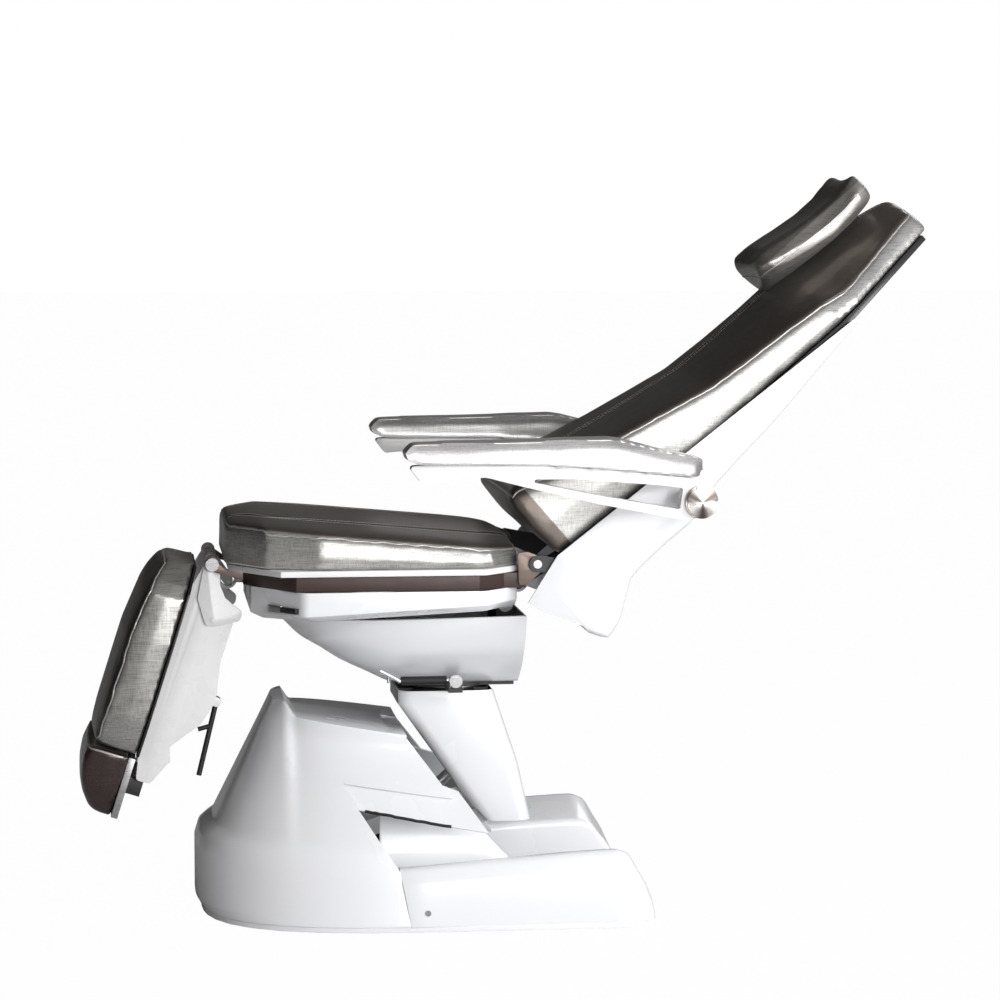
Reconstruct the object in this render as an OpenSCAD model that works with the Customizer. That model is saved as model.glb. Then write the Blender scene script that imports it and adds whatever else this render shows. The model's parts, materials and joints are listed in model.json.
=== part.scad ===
// Podiatry chair on a lifting column, modelled in millimetres with +Z up.
// X runs from the foot end to the head end, and the swivel axis is the line swivel_x = 0 of the
// working frame. Every node is then moved so that the origin lies on the floor under the middle.

/* [Base] */
// Half width of the base at the floor
base_half_w = 300; // [280:1:320]
// Reach of the hood's toe in front of the swivel axis
toe_reach = 438; // [425:1:450]
// Reach of the rear legs behind the swivel axis
leg_reach = 324; // [300:1:345]
// Height of the underside of the moulded covers
plinth_h = 16; // [14:1:20]
// Height of the hood's roof at its front edge
hood_h = 343; // [338:1:346]
// Rise of the hood's front lip above the roof
hood_lip_h = 24; // [16:1:28]
// Half width of the hood's roof
hood_top_half_w = 166; // [150:1:180]
// Wall of the moulded covers
cover_wall = 4; // [3:0.5:5]
// Height of the rear legs at their outer crest
crest_h = 137; // [125:1:142]
// Half width of the channel between the rear legs
channel_half_w = 165; // [150:1:175]

/* [Lift] */
// Length of the lift arms between their pins
lift_arm_l = 330; // [322:1:338]
// Angle of the lift arms above level, at rest
lift_angle = 20; // [18:0.5:22]
// Height of the upper column pin above the floor
column_pin_z = 222; // [216:1:228]
// Distance between the upper and the lower pins
arm_spacing = 50; // [46:1:54]
// Diameter of the lift pins
lift_pin_d = 16; // [12:1:18]
// Height of the column above the floor
column_top_z = 380; // [376:1:384]
// Half width of the column cover
column_half_w = 95; // [88:1:104]

/* [Seat] */
// Height of the underside of the seat board
seat_z = 598; // [592:1:604]
// Thickness of the seat, back and leg boards
board_t = 10; // [8:1:12]
// Reach of the seat cushion in front of the swivel axis
seat_front = 394; // [388:1:398]
// Reach of the seat cushion behind the swivel axis
seat_rear = 103; // [98:1:106]
// Half width of the seat cushion
seat_half_w = 290; // [270:1:300]
// Thickness of the seat cushion at its front
seat_front_t = 74; // [60:1:85]
// Thickness of the seat cushion at its rear
seat_rear_t = 35; // [30:1:38]
// Depth of the steel seat frame
frame_h = 26; // [22:1:30]
// Depth of the seat tray at its front
tray_h = 56; // [50:1:60]

/* [Back] */
// Angle of the back above level, at rest
back_angle = 41; // [40:0.5:42]
// Length of the back cushion
back_l = 880; // [820:1:900]
// Half width of the back cushion
back_half_w = 250; // [240:1:252]
// Half width of the back shell
shell_half_w = 259; // [257:1:264]
// Length of the headrest pillow
pillow_l = 240; // [200:1:250]
// Half width of the headrest pillow
pillow_half_w = 118; // [100:1:130]
// Thickness of the headrest pillow
pillow_t = 44; // [36:1:50]

/* [Armrests] */
// Distance from the middle of the chair to the middle of an armrest
arm_y = 360; // [352:1:370]
// Length of an armrest from its pin to its tip
arm_l = 488; // [440:1:500]
// Width of an armrest pad
pad_w = 76; // [60:1:80]
// Height of an armrest pad
pad_h = 38; // [30:1:44]
// Width of an armrest frame
arm_w = 30; // [24:1:36]
// Diameter of the armrest clamp knob
knob_d = 54; // [46:1:58]

/* [Legrest] */
// Angle of the hanging legrest from upright
leg_tilt = 17.6; // [16:0.2:19]
// Length of the legrest cushion
leg_l = 338; // [320:1:350]
// Half width of the legrest cushion
leg_half_w = 192; // [170:1:205]
// Thickness of the legrest cushion
leg_t = 76; // [64:1:84]
// Length of the foot cushion
foot_l = 114; // [96:1:120]
// Length of the release handle
release_l = 130; // [110:1:140]

/* [Hidden] */
$fn = 48;

// Shared clearances and small sizes
eps = 0.01;
overrun = 20;
seat_gap = 0.3;
run_gap = 0.05;
side_gap = 1;
plate_t = 6;
half_share = 0.48;
arc_steps = 6;
hull_fn = 32;
facet_steps_share = 0.5;

// Places along the chair: X and Z of the hinges and pins
facet_front = 82;
facet_rear = 60;
seat_front_half_w = 160;
seat_rear_half_w = 225;
back_hinge = [seat_rear + 25, seat_z + 14];
leg_hinge = [-(seat_front + 14), seat_z + 8];
tilt_hinge = [seat_rear - 8, seat_z - 73];
column_pin_x = 92;
column_pin_up = [column_pin_x, column_pin_z];
column_pin_low = column_pin_up - [0, arm_spacing];
arm_reach = lift_arm_l * [cos(lift_angle), sin(lift_angle)];
base_pin_up = column_pin_up - arm_reach;
base_pin_low = column_pin_low - arm_reach;
lift_foot_pin = base_pin_low + [18, -18];
lift_head_pin = column_pin_up + [-42, 40];
ring_h = 6;
swivel_plate_t = 8;
swivel_z = column_top_z + ring_h;
head_z = swivel_z + swivel_plate_t;
tilt_foot_pin = [-60, head_z + 31];
tilt_head_pin = [-190, seat_z - 42];
back_foot_pin = [-120, seat_z - 38];
spring_foot_pin = [-170, seat_z - 42];
crank_r = 55;
back_crank_angle = -94;
spring_crank_angle = -55;
back_head_pin = back_hinge + crank_r * [cos(back_crank_angle), sin(back_crank_angle)];
spring_head_pin = leg_hinge + crank_r * [cos(spring_crank_angle), sin(spring_crank_angle)];
spring_y = 60;
shaft_u = 264;
shaft_h = -81.5;
shaft_d = 30;
shaft_at = back_hinge + [shaft_u * cos(back_angle) - shaft_h * sin(back_angle),
    shaft_u * sin(back_angle) + shaft_h * cos(back_angle)];

// The chair is moved so that the middle of its length stands over the origin
foot_front_h = 114.2;
foot_widest_u = leg_l + 44;
foot_reach = foot_widest_u * sin(leg_tilt) + foot_front_h * cos(leg_tilt) - leg_hinge[0];
back_end_gap = 15;
back_low_h = 36;
head_reach = back_hinge[0] + (back_l + back_end_gap) * cos(back_angle) + back_low_h * sin(back_angle);
middle_x = (head_reach - foot_reach) / 2;

// Plane and solid helpers
function unit(v) = v / norm(v);
function corner_arc(p, i, r, n) =
    let (c = len(p), b = p[i], a = p[(i + c - 1) % c], d = p[(i + 1) % c],
        u = unit(a - b), v = unit(d - b), half = acos(u * v) / 2,
        t = min(r / tan(half), half_share * min(norm(a - b), norm(d - b))), k = t * tan(half),
        m = b + unit(u + v) * (k / sin(half)), s = b + u * t - m, e = b + v * t - m,
        start = atan2(s[1], s[0]), turn = (atan2(e[1], e[0]) - start + 540) % 360 - 180)
    [for (j = [0:n]) m + k * [cos(start + turn * j / n), sin(start + turn * j / n)]];
function rounded(p, r, n = arc_steps) =
    [for (i = [0:len(p) - 1]) each corner_arc(p, i, is_list(r) ? r[i] : r, n)];
function moved_in(p, d, w = undef) =
    [for (i = [0:len(p) - 1])
        let (c = len(p), b = p[i], u = unit(b - p[(i + c - 1) % c]), v = unit(p[(i + 1) % c] - b),
            m = unit(u + v), share = w == undef ? 1 : w[i])
        b + [-m[1], m[0]] * (d * share / max(u * m, half_share))];
function by_shares(t, a, b, o = [0, 0]) = [for (s = t) o + [s[0] * a, s[1] * b]];
function coffin(front, rear, front_hw, mid_hw, rear_hw, ff = facet_front, fr = facet_rear) =
    [[front, -front_hw], [front + ff, -mid_hw], [rear - fr, -mid_hw], [rear, -rear_hw],
        [rear, rear_hw], [rear - fr, mid_hw], [front + ff, mid_hw], [front, front_hw]];
function end_draw(e, r) = e >= r ? 0 : r - sqrt(r * r - (r - e) * (r - e));

// Skins a stack of rings, each counter-clockwise when seen from the far end of the stack
module loft(rings, strips = false) {
    n = len(rings[0]);
    end = (len(rings) - 1) * n;
    half = floor(n / 2) - 2;
    sides = [for (k = [0:len(rings) - 2]) for (i = [0:n - 1])
        let (j = (i + 1) % n, a = k * n, b = a + n)
        each [[a + i, b + i, b + j], [a + i, b + j, a + j]]];
    low = strips ? [for (i = [0:half]) [i, i + 1, n - 2 - i, n - 1 - i]] : [[for (i = [0:n - 1]) i]];
    high = strips ? [for (i = [0:half]) [end + n - 1 - i, end + n - 2 - i, end + i + 1, end + i]]
        : [[for (i = [0:n - 1]) end + n - 1 - i]];
    polyhedron([for (r = rings) each r], concat(sides, low, high));
}

// A side profile in X and Z, drawn out across the chair, and the working frames of tilted pieces
module across(w, y = 0) {
    translate([0, y, 0]) rotate([90, 0, 0]) linear_extrude(w, center = true) children();
}
module in_frame(angle, at) {
    translate([at[0], 0, at[1]]) rotate([0, -angle, 0]) children();
}
module in_back() {
    in_frame(back_angle, back_hinge) children();
}
module in_leg() {
    in_frame(90 - leg_tilt, leg_hinge) children();
}
module pair() {
    children();
    mirror([0, 1, 0]) children();
}
module pin_at(p, d, w, y = 0) {
    translate([p[0], y, p[1]]) rotate([90, 0, 0]) cylinder(d = d, h = w, center = true);
}
module slab(x, y, z) {
    translate([x[0], y[0], z[0]]) cube([x[1] - x[0], y[1] - y[0], z[1] - z[0]]);
}
module wide_slab(x, y, z) {
    slab(x, [-y, y], z);
}
module bar_outline(a, b, r) {
    translate(a) circle(r);
    translate(b) circle(r);
    translate(a) rotate(atan2(b[1] - a[1], b[0] - a[0])) translate([0, -r]) square([norm(b - a), 2 * r]);
}
module placed() {
    translate([-middle_x, 0, 0]) children();
}

// A cushion: stations along its length with a flat base, drawn-in sides and a crowned, seamed top
end_angles = [0, 35, 65];
ring_angles = [0, 30, 60];
top_share = [1, 0.85, 0.65, 0.35, 0.1];
function cushion_ring(angle, at, u, low, high, hw, crown, r, seam, dip) =
    let (e = min(r, (high - low) * half_share), k = hw - e, b = e / 6, m = low + (high - low - e) / 2,
        sa = seam > 0 ? [1, 0.85, seam + 0.05, seam, seam - 0.05, 0.2, 0] : [1, 0.85, 0.65, 0.35, 0.06, 0],
        side = [for (a = ring_angles) [k - b + e * cos(a), high - e + e * sin(a)]],
        top = [for (s = sa) [(k - b) * s, high + crown * (1 - s * s) - (s == seam ? dip : 0)]],
        right = concat([[hw - 2 * b, low], [hw, m]], side, top),
        left = [for (i = [1:len(right)]) [-right[len(right) - i][0], right[len(right) - i][1]]],
        both = concat(right, [for (i = [1:len(left) - 1]) left[i]]))
    [for (p = both) [at[0] + u * cos(angle) - p[1] * sin(angle), p[0],
        at[1] + u * sin(angle) + p[1] * cos(angle)]];
function cushion_places(u0, u1, r, mids) =
    concat([for (a = end_angles) u0 + r * (1 - cos(a))], [for (s = mids) u0 + r + (u1 - u0 - 2 * r) * s],
        [for (a = [65, 35, 0]) u1 - r * (1 - cos(a))]);

// Base: steel frame
foot_pad_d = 40;
foot_pad_t = 8;
stud_d = 10;
rail_w = 50;
rail_h = 40;
rail_y = 220;
rail_front_x = -280;
rail_rear_x = 290;
front_cross_w = 40;
front_cross_y = 232;
mid_cross_x = -136;
tab_w = 40;
tab_t = 8;
rear_tab_x = 200;
plinth_gap = 2;
plinth_w = 22;
plinth_t = 10;
upright_r = 20;
floor_plate_t = 6;
pivot_plate_y = 41;
pivot_plate_t = 8;
lift_arm_y = pivot_plate_y + pivot_plate_t + side_gap;
lift_arm_t = 8;
lift_arm_h = 28;
boss_r = 15;
small_pin_d = 12;
thin_pin_d = 8;
tube_lug_y = 24;
rod_lug_y = 11;
lug_t = 6;
base_in = base_half_w - plinth_gap - plinth_w + tab_t;
module frame_rails() {
    z = [plinth_h, plinth_h + rail_h];
    pair() slab([rail_front_x, rail_rear_x], [rail_y - rail_w / 2, rail_y + rail_w / 2], z);
    wide_slab([rail_front_x - front_cross_w, rail_front_x], front_cross_y, z);
    wide_slab([mid_cross_x, mid_cross_x + tab_w], rail_y, z);
    low = [plinth_h, plinth_h + tab_t];
    wide_slab([mid_cross_x, mid_cross_x + tab_w], base_in, low);
    pair() slab([rear_tab_x, rear_tab_x + tab_w], [rail_y, base_in - tab_t], low);
    wide_slab([-toe_reach + plinth_w, rail_front_x], tab_w / 2, low);
}
module base_uprights() {
    foot = [[base_pin_low[0] - upright_r, plinth_h], [base_pin_low[0] + 2 * upright_r, plinth_h],
        base_pin_low + [upright_r, 0], base_pin_low - [upright_r, 0]];
    pair() across(pivot_plate_t, pivot_plate_y + pivot_plate_t / 2) {
        bar_outline(base_pin_low, base_pin_up, upright_r);
        polygon(foot);
    }
    pair() across(lug_t, tube_lug_y + lug_t / 2) {
        translate(lift_foot_pin) circle(small_pin_d);
        translate([lift_foot_pin[0] - small_pin_d, plinth_h])
            square([2 * small_pin_d, lift_foot_pin[1] - plinth_h]);
    }
    floor_z = [plinth_h, plinth_h + floor_plate_t];
    wide_slab([base_pin_low[0] - 2 * upright_r, mid_cross_x], rail_y, floor_z);
}
module base_frame() color("dimgray") difference() {
    union() {
        frame_rails();
        base_uprights();
    }
    pin_at(base_pin_up, lift_pin_d + 2 * run_gap, 2 * base_half_w);
    pin_at(base_pin_low, lift_pin_d + 2 * run_gap, 2 * base_half_w);
    pin_at(lift_foot_pin, small_pin_d + 2 * run_gap, 2 * base_half_w);
}
module levelling_feet() color("black") {
    for (x = [rail_front_x + rail_w / 2, rail_rear_x - rail_w / 2])
        pair() translate([x, rail_y, 0]) {
            cylinder(d = foot_pad_d, h = foot_pad_t);
            cylinder(d = stud_d, h = plinth_h);
        }
}

// A pin seated in a plate, with its head outside the part that turns on it
pin_head_t = 5;
pin_head_w = 5;
module stub_pin(p, d, inner_y, outer_y) {
    pair() {
        pin_at(p, d, outer_y + side_gap - inner_y, (outer_y + side_gap + inner_y) / 2);
        pin_at(p, d + 2 * pin_head_w, pin_head_t, outer_y + side_gap + pin_head_t / 2);
    }
}
module through_pin(p, d, w, y = 0) {
    pin_at(p, d, w + 2 * side_gap, y);
    for (s = [-1, 1])
        pin_at(p, d + 2 * side_gap, side_gap, y + s * (w / 2 + side_gap));
}
module base_pivot_pins() color("silver") {
    stub_pin(base_pin_up, lift_pin_d, pivot_plate_y, lift_arm_y + lift_arm_t);
    stub_pin(base_pin_low, lift_pin_d, pivot_plate_y, lift_arm_y + lift_arm_t);
    through_pin(lift_foot_pin, small_pin_d, 2 * (tube_lug_y + lug_t));
}

// Base: moulded covers
hood_top_z = hood_h + hood_lip_h;
toe_share = 0.982;
round_angles = [12, 24, 36, 48, 58, 68, 76, 82, 87];
hood_levels_share = [0, 0.04, 0.17, 0.296, 0.353, 0.382, 0.405, 0.5, 0.64, 0.78, 0.9, 1];
hood_front_share = [[0, 0.982], [0.04, 1], [0.296, 1], [0.353, 0.986], [0.382, 0.959], [0.405, 0.932],
    [1, 0.699]];
hood_side_share = [[0, 1], [0.345, 0.917], [0.638, 0.74]];
roof_share = [[0, 0.883], [0.183, 0.918], [0.616, 1]];
lip_share = [0.651, 0.7];
function hood_half(t) = lookup(t, concat([for (s = hood_side_share) [s[0], s[1] * base_half_w]],
    [[0.94, hood_top_half_w], [1, hood_top_half_w]]));
function roof_z(x) = lookup(-x / toe_reach, concat([for (s = roof_share) [s[0], s[1] * hood_h]],
    [for (s = lip_share) [s, hood_top_z]]));
function toe_curve(front, hw, rear) =
    let (side = concat([[rear, hw]],
        [for (a = round_angles) [-front * pow(sin(a), 2 / 3), hw * pow(cos(a), 2 / 3)]]))
    concat(side, [for (i = [1:len(side)]) [side[len(side) - i][0], -side[len(side) - i][1]]]);
function hood_ring(t, d, rear, drop) =
    let (h = hood_top_z - plinth_h, front = toe_reach * lookup(t, hood_front_share) - d)
    [for (p = toe_curve(front, hood_half(t) - d, rear))
        [p[0], p[1], plinth_h + t * (h - d) - t * t * (hood_top_z - roof_z(p[0])) - drop]];
module hood_form(d, rear, drop = 0) {
    loft([for (t = hood_levels_share) hood_ring(t, d, rear, t == 0 ? drop : 0)], true);
}
hood_low_cut_share = [[-0.4429, 0.7055], [-0.3858, 0.5831], [-0.2397, 0.3061], [-0.2009, 0.0466],
    [-0.2009, -0.0583], [0.137, -0.0583], [0.137, 0.5831], [-0.0274, 0.6297]];
hood_high_cut_share = [[-0.1918, 1.4577], [-0.1918, 0.9038], [-0.0274, 0.6297], [0.2283, 0.5539],
    [0.2283, 1.4577]];
shroud_share = [[-0.4566, 0.7872], [-0.4452, 0.6997], [-0.3858, 0.5831], [0.105, 0.4723], [0, 0.656],
    [-0.1256, 0.7143]];
shroud_rear = 60;
roof_notch_x = [-112, -60];
roof_notch_y = 45;
roof_notch_z = 280;
module front_hood() color("white") difference() {
    hood_form(0, 0);
    hood_form(cover_wall, overrun, overrun);
    across(4 * base_half_w) polygon(by_shares(hood_low_cut_share, toe_reach, hood_h));
    across(4 * base_half_w) polygon(by_shares(hood_high_cut_share, toe_reach, hood_h));
    wide_slab(roof_notch_x, roof_notch_y, [roof_notch_z, 2 * hood_h]);
}
shroud_wall = 3;
shroud_gap = 0.7;
module side_shroud() color("whitesmoke") intersection() {
    difference() {
        hood_form(cover_wall + shroud_gap, shroud_rear);
        hood_form(cover_wall + shroud_gap + shroud_wall, shroud_rear + overrun, overrun);
    }
    across(base_half_w, -base_half_w / 2 - column_half_w / 2)
        polygon(by_shares(shroud_share, toe_reach, hood_h));
}
module side_shroud_left() {
    side_shroud();
}
module side_shroud_right() {
    mirror([0, 1, 0]) side_shroud();
}

// Base: rear legs with the channel between them
deck_split = 88;
deck_lean_share = 0.191;
deck_places_share = [-0.272, 0, 0.24, 0.52, 0.772, 0.852, 0.91, 0.957, 0.988, 1];
deck_crest_share = [[-0.3, 0.818], [0.24, 0.92], [0.772, 1], [0.852, 0.942], [0.91, 0.73], [0.988, 0.365],
    [1, 0.25]];
deck_side_share = [[0.8, 1], [0.93, 0.975], [0.985, 0.95], [1, 0.925]];
deck_round = 12;
crest_in = 25;
side_in = 10;
bridge_rear = 60;
deck_inner_t = 6;
deck_inner_in = 3;
deck_inner_share = [[-0.2593, 0.438], [-0.3519, 0.4672], [-0.3519, 1.4015], [-0.1852, 1.3431],
    [0.0926, 1.1679], [0.2315, 0.8613], [0.3086, 0.6715], [0.3086, 0.438]];
bridge_t = 4;
function deck_ring(x, d, drop, first) =
    let (s = min(1, (x + d) / leg_reach), c = crest_h * lookup(s, deck_crest_share) - d,
        hw = base_half_w * lookup(s, deck_side_share) - d, z0 = plinth_h - drop,
        p = [[-hw, z0], [-channel_half_w - d, z0], [-channel_half_w - d, z0 + (c - z0) * 0.72],
            [-hw + crest_in, c], [-hw + side_in, z0 + (c - z0) * 0.7]],
        r = rounded(p, [side_gap, side_gap, deck_round, deck_round, deck_round], 4))
    [for (q = r) [x - (first ? max(0, q[1] - plinth_h) * deck_lean_share : 0), q[0], q[1]]];
module leg_form(d, drop, x_front) {
    xs = [for (s = deck_places_share) s == -0.272 ? x_front : s * leg_reach - (s == 1 ? d : 0)];
    loft([for (x = xs) deck_ring(x, d, drop, x == x_front)]);
}
screw_x = 18;
screw_z = 38;
screw_head_d = 10;
screw_d = 5;
screw_boss_l = 14;
module deck_leg() {
    difference() {
        leg_form(0, 0, -deck_split + seat_gap);
        leg_form(cover_wall, overrun, -deck_split - overrun);
    }
    slab([-deck_split + cover_wall, -deck_split + 2 * screw_x + screw_head_d],
        [-base_half_w + side_in, -base_half_w + screw_boss_l + cover_wall],
        [screw_z - screw_head_d, screw_z + screw_head_d]);
}
screw_at = [-deck_split + screw_x + screw_head_d, screw_z];
module rear_deck_cover() color("white") difference() {
    union() {
        pair() deck_leg();
        wide_slab([-deck_split + seat_gap, bridge_rear], channel_half_w + eps, [plinth_h, plinth_h + bridge_t]);
        pair() across(deck_inner_t, channel_half_w + deck_inner_t / 2 - deck_inner_in)
            polygon(by_shares(deck_inner_share, leg_reach, crest_h));
    }
    pair() pin_at(screw_at, screw_head_d + 2 * run_gap, overrun, base_half_w - side_in / 2 + overrun / 2);
    pair() pin_at(screw_at, screw_d + 2 * run_gap, 2 * overrun, base_half_w - overrun);
}
module cover_screws() color("silver") pair() {
    pin_at(screw_at, screw_head_d, cover_wall - side_gap, base_half_w - side_in / 2 + (cover_wall - side_gap) / 2);
    pin_at(screw_at, screw_d, screw_boss_l, base_half_w - side_in / 2 - screw_boss_l / 2);
}
function base_plan() =
    let (c = toe_curve(toe_reach * hood_front_share[0][1], base_half_w, 0), n = len(c) - 1,
        hw = base_half_w * deck_side_share[3][1],
        leg = [[0.8 * leg_reach, base_half_w], [0.93 * leg_reach, 0.975 * base_half_w]])
    concat(c, [[leg[0][0], -leg[0][1]], [leg[1][0], -leg[1][1]], [leg_reach, -hw],
        [leg_reach, -channel_half_w], [bridge_rear, -channel_half_w],
        [bridge_rear, channel_half_w], [leg_reach, channel_half_w], [leg_reach, hw], leg[1], leg[0]]);
module base_plinth() color("whitesmoke") translate([0, 0, plinth_h - plinth_t]) linear_extrude(plinth_t)
    difference() {
        polygon(moved_in(base_plan(), plinth_gap));
        polygon(moved_in(base_plan(), plinth_gap + plinth_w));
    }
control_x = [-325, -265];
control_y = 95;
control_t = 84;
module control_box() color("black") {
    wide_slab(control_x, control_y, [plinth_h + rail_h, plinth_h + rail_h + control_t]);
}
inlet_x = [-84, -50];
inlet_y = 15;
inlet_h = 26;
inlet_w = 3;
inlet_pin_t = 8;
module mains_inlet() color("black") {
    z = [plinth_h + bridge_t, plinth_h + bridge_t + inlet_h];
    difference() {
        wide_slab(inlet_x, inlet_y, z);
        wide_slab([inlet_x[1] - inlet_y, inlet_x[1] + inlet_y], inlet_y - inlet_w, z + [inlet_w, -inlet_w]);
    }
    for (s = [-0.5, 0, 0.5])
        slab([inlet_x[1] - inlet_y - inlet_w, inlet_x[1] - inlet_w],
            [s * inlet_y - side_gap, s * inlet_y + side_gap], [z[0] + inlet_pin_t, z[1] - inlet_pin_t]);
}

// Lift: two pairs of arms and the electric actuator
cross_tube_along = 168;
upper_tube_along = 290;
lower_tube_r = 10;
upper_tube_r = 8;
module lift_arms(at, tube_along, tube_r, tube_drop) difference() {
    in_frame(lift_angle, at) {
        pair() across(lift_arm_t, lift_arm_y + lift_arm_t / 2) {
            circle(boss_r);
            translate([lift_arm_l, 0]) circle(boss_r);
            translate([0, -lift_arm_h / 2]) square([lift_arm_l, lift_arm_h]);
        }
        pin_at([tube_along, -tube_drop], 2 * tube_r, 2 * lift_arm_y + lift_arm_t);
    }
    pin_at(at, lift_pin_d + 2 * run_gap, 2 * base_half_w);
    pin_at(at + arm_reach, lift_pin_d + 2 * run_gap, 2 * base_half_w);
}
module lower_lift_arm() color("gray") lift_arms(base_pin_low, cross_tube_along, lower_tube_r, lift_arm_h / 2);
module upper_lift_arm() color("gray") lift_arms(base_pin_up, upper_tube_along, upper_tube_r, 0);

// An actuator: the tube turns on its foot pin and the rod slides in it along the line between the pins
rod_end_gap = 4;
module actuator_tube(a, b, r, eye_w, pin_d, rod_r, tube_l, y = 0) {
    turn = atan2(b[1] - a[1], b[0] - a[0]);
    in_frame(turn, a) difference() {
        union() {
            translate([pin_d, y, 0]) rotate([0, 90, 0]) cylinder(r = r, h = tube_l - pin_d);
            pin_at([0, 0], 2 * pin_d, eye_w, y);
            translate([pin_d / 2, y, 0]) cube([pin_d + side_gap, eye_w, pin_d], center = true);
        }
        pin_at([0, 0], pin_d + 2 * run_gap, 2 * r + 2 * eye_w, y);
        translate([2 * pin_d, y, 0]) rotate([0, 90, 0]) cylinder(r = rod_r + run_gap, h = tube_l);
    }
}
module actuator_rod(a, b, rod_r, start, eye_r, eye_out, eye_w, y = 0) {
    turn = atan2(b[1] - a[1], b[0] - a[0]);
    l = norm(b - a);
    in_frame(turn, a) difference() {
        union() {
            translate([start, y, 0]) rotate([0, 90, 0]) cylinder(r = rod_r, h = l - start - eye_r);
            pin_at([l, 0], 2 * eye_out, eye_w, y);
        }
        pin_at([l, 0], 2 * eye_r, 2 * eye_w, y);
    }
}
lift_tube_r = 22;
lift_rod_r = 10;
lift_tube_l = 250;
lift_rod_start = 72;
lift_eye_r = 10.3;
lift_eye_out = 15;
tube_eye_w = 2 * (tube_lug_y - side_gap);
rod_eye_w = 2 * (rod_lug_y - side_gap);
module lift_actuator_tube() color("black")
    actuator_tube(lift_foot_pin, lift_head_pin, lift_tube_r, tube_eye_w, small_pin_d, lift_rod_r, lift_tube_l);
module lift_actuator_rod() color("silver")
    actuator_rod(lift_foot_pin, lift_head_pin, lift_rod_r, lift_rod_start, lift_eye_r, lift_eye_out, rod_eye_w);

// Column: steel frame and moulded cover
cover_t = 3;
column_top_t = 12;
column_plate_share = [[0.2333, 0.5842], [0.3242, 0.5842], [0.3242, 0.6579], [0.2909, 0.7895], [0.2, 0.9737],
    [-0.1515, 0.9737], [-0.1515, 0.9211], [0.2333, 0.6211]];
column_back = 89;
column_front_x = 60;
web_x = [76, 84];
web_z = [240, 300];
column_side_x = 66;
module column_frame() color("dimgray") difference() {
    union() {
        pair() across(pivot_plate_t, pivot_plate_y + pivot_plate_t / 2) {
            bar_outline(column_pin_low, column_pin_up, boss_r);
            polygon(by_shares(column_plate_share, lift_arm_l, column_top_z));
        }
        wide_slab(web_x, pivot_plate_y + side_gap, web_z);
        pair() across(lug_t, rod_lug_y + lug_t / 2) {
            translate(lift_head_pin) circle(boss_r);
            translate([lift_head_pin[0], lift_head_pin[1] - boss_r])
                square([web_x[0] + side_gap - lift_head_pin[0], 2 * boss_r]);
        }
        top = [column_top_z - column_top_t, column_top_z];
        wide_slab([-column_back + column_round, column_side_x - column_round], column_half_w - cover_t, top);
        wide_slab([-column_back, column_side_x], column_half_w - 2 * overrun, top);
    }
    pin_at(column_pin_up, lift_pin_d + 2 * run_gap, 2 * base_half_w);
    pin_at(column_pin_low, lift_pin_d + 2 * run_gap, 2 * base_half_w);
    pin_at(lift_head_pin, small_pin_d + 2 * run_gap, 4 * rod_lug_y);
}
column_round = 25;
column_front_share = [[0.4026, -0.565], [0.942, 1], [1, 1]];
column_rear_share = [[0.4026, 1.5], [0.663, 1.261], [1, 0.793]];
column_rings_share = [0.4026, 0.53, 0.663, 0.8, 0.942, 1];
function column_ring(t, d, z) =
    let (xf = -column_pin_x * lookup(t, column_front_share) + d,
        xr = column_pin_x * lookup(t, column_rear_share) - d, hw = column_half_w - d)
    [for (q = rounded([[xf, -hw], [xr, -hw], [xr, hw], [xf, hw]], column_round, 5)) [q[0], q[1], z]];
module column_form(d, low, high) {
    loft([for (t = column_rings_share) column_ring(t, d,
        t * column_top_z - (t == column_rings_share[0] ? low : 0) + (t == 1 ? high : 0))]);
}
column_slot_z = 232;
column_slot_y = 78;
rod_slot_z = 270;
module column_cover() color("white") difference() {
    column_form(0, 0, 0);
    column_form(cover_t, overrun, overrun);
    wide_slab([-2 * column_pin_x, column_pin_x / 2], column_slot_y, [0, column_slot_z]);
    wide_slab([-2 * column_pin_x, column_pin_x / 2], lift_tube_r + run_gap + pin_head_t, [0, rod_slot_z]);
}
module column_pivot_pins() color("silver") {
    stub_pin(column_pin_up, lift_pin_d, pivot_plate_y, lift_arm_y + lift_arm_t);
    stub_pin(column_pin_low, lift_pin_d, pivot_plate_y, lift_arm_y + lift_arm_t);
    through_pin(lift_head_pin, small_pin_d, 2 * (rod_lug_y + lug_t));
}

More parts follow.
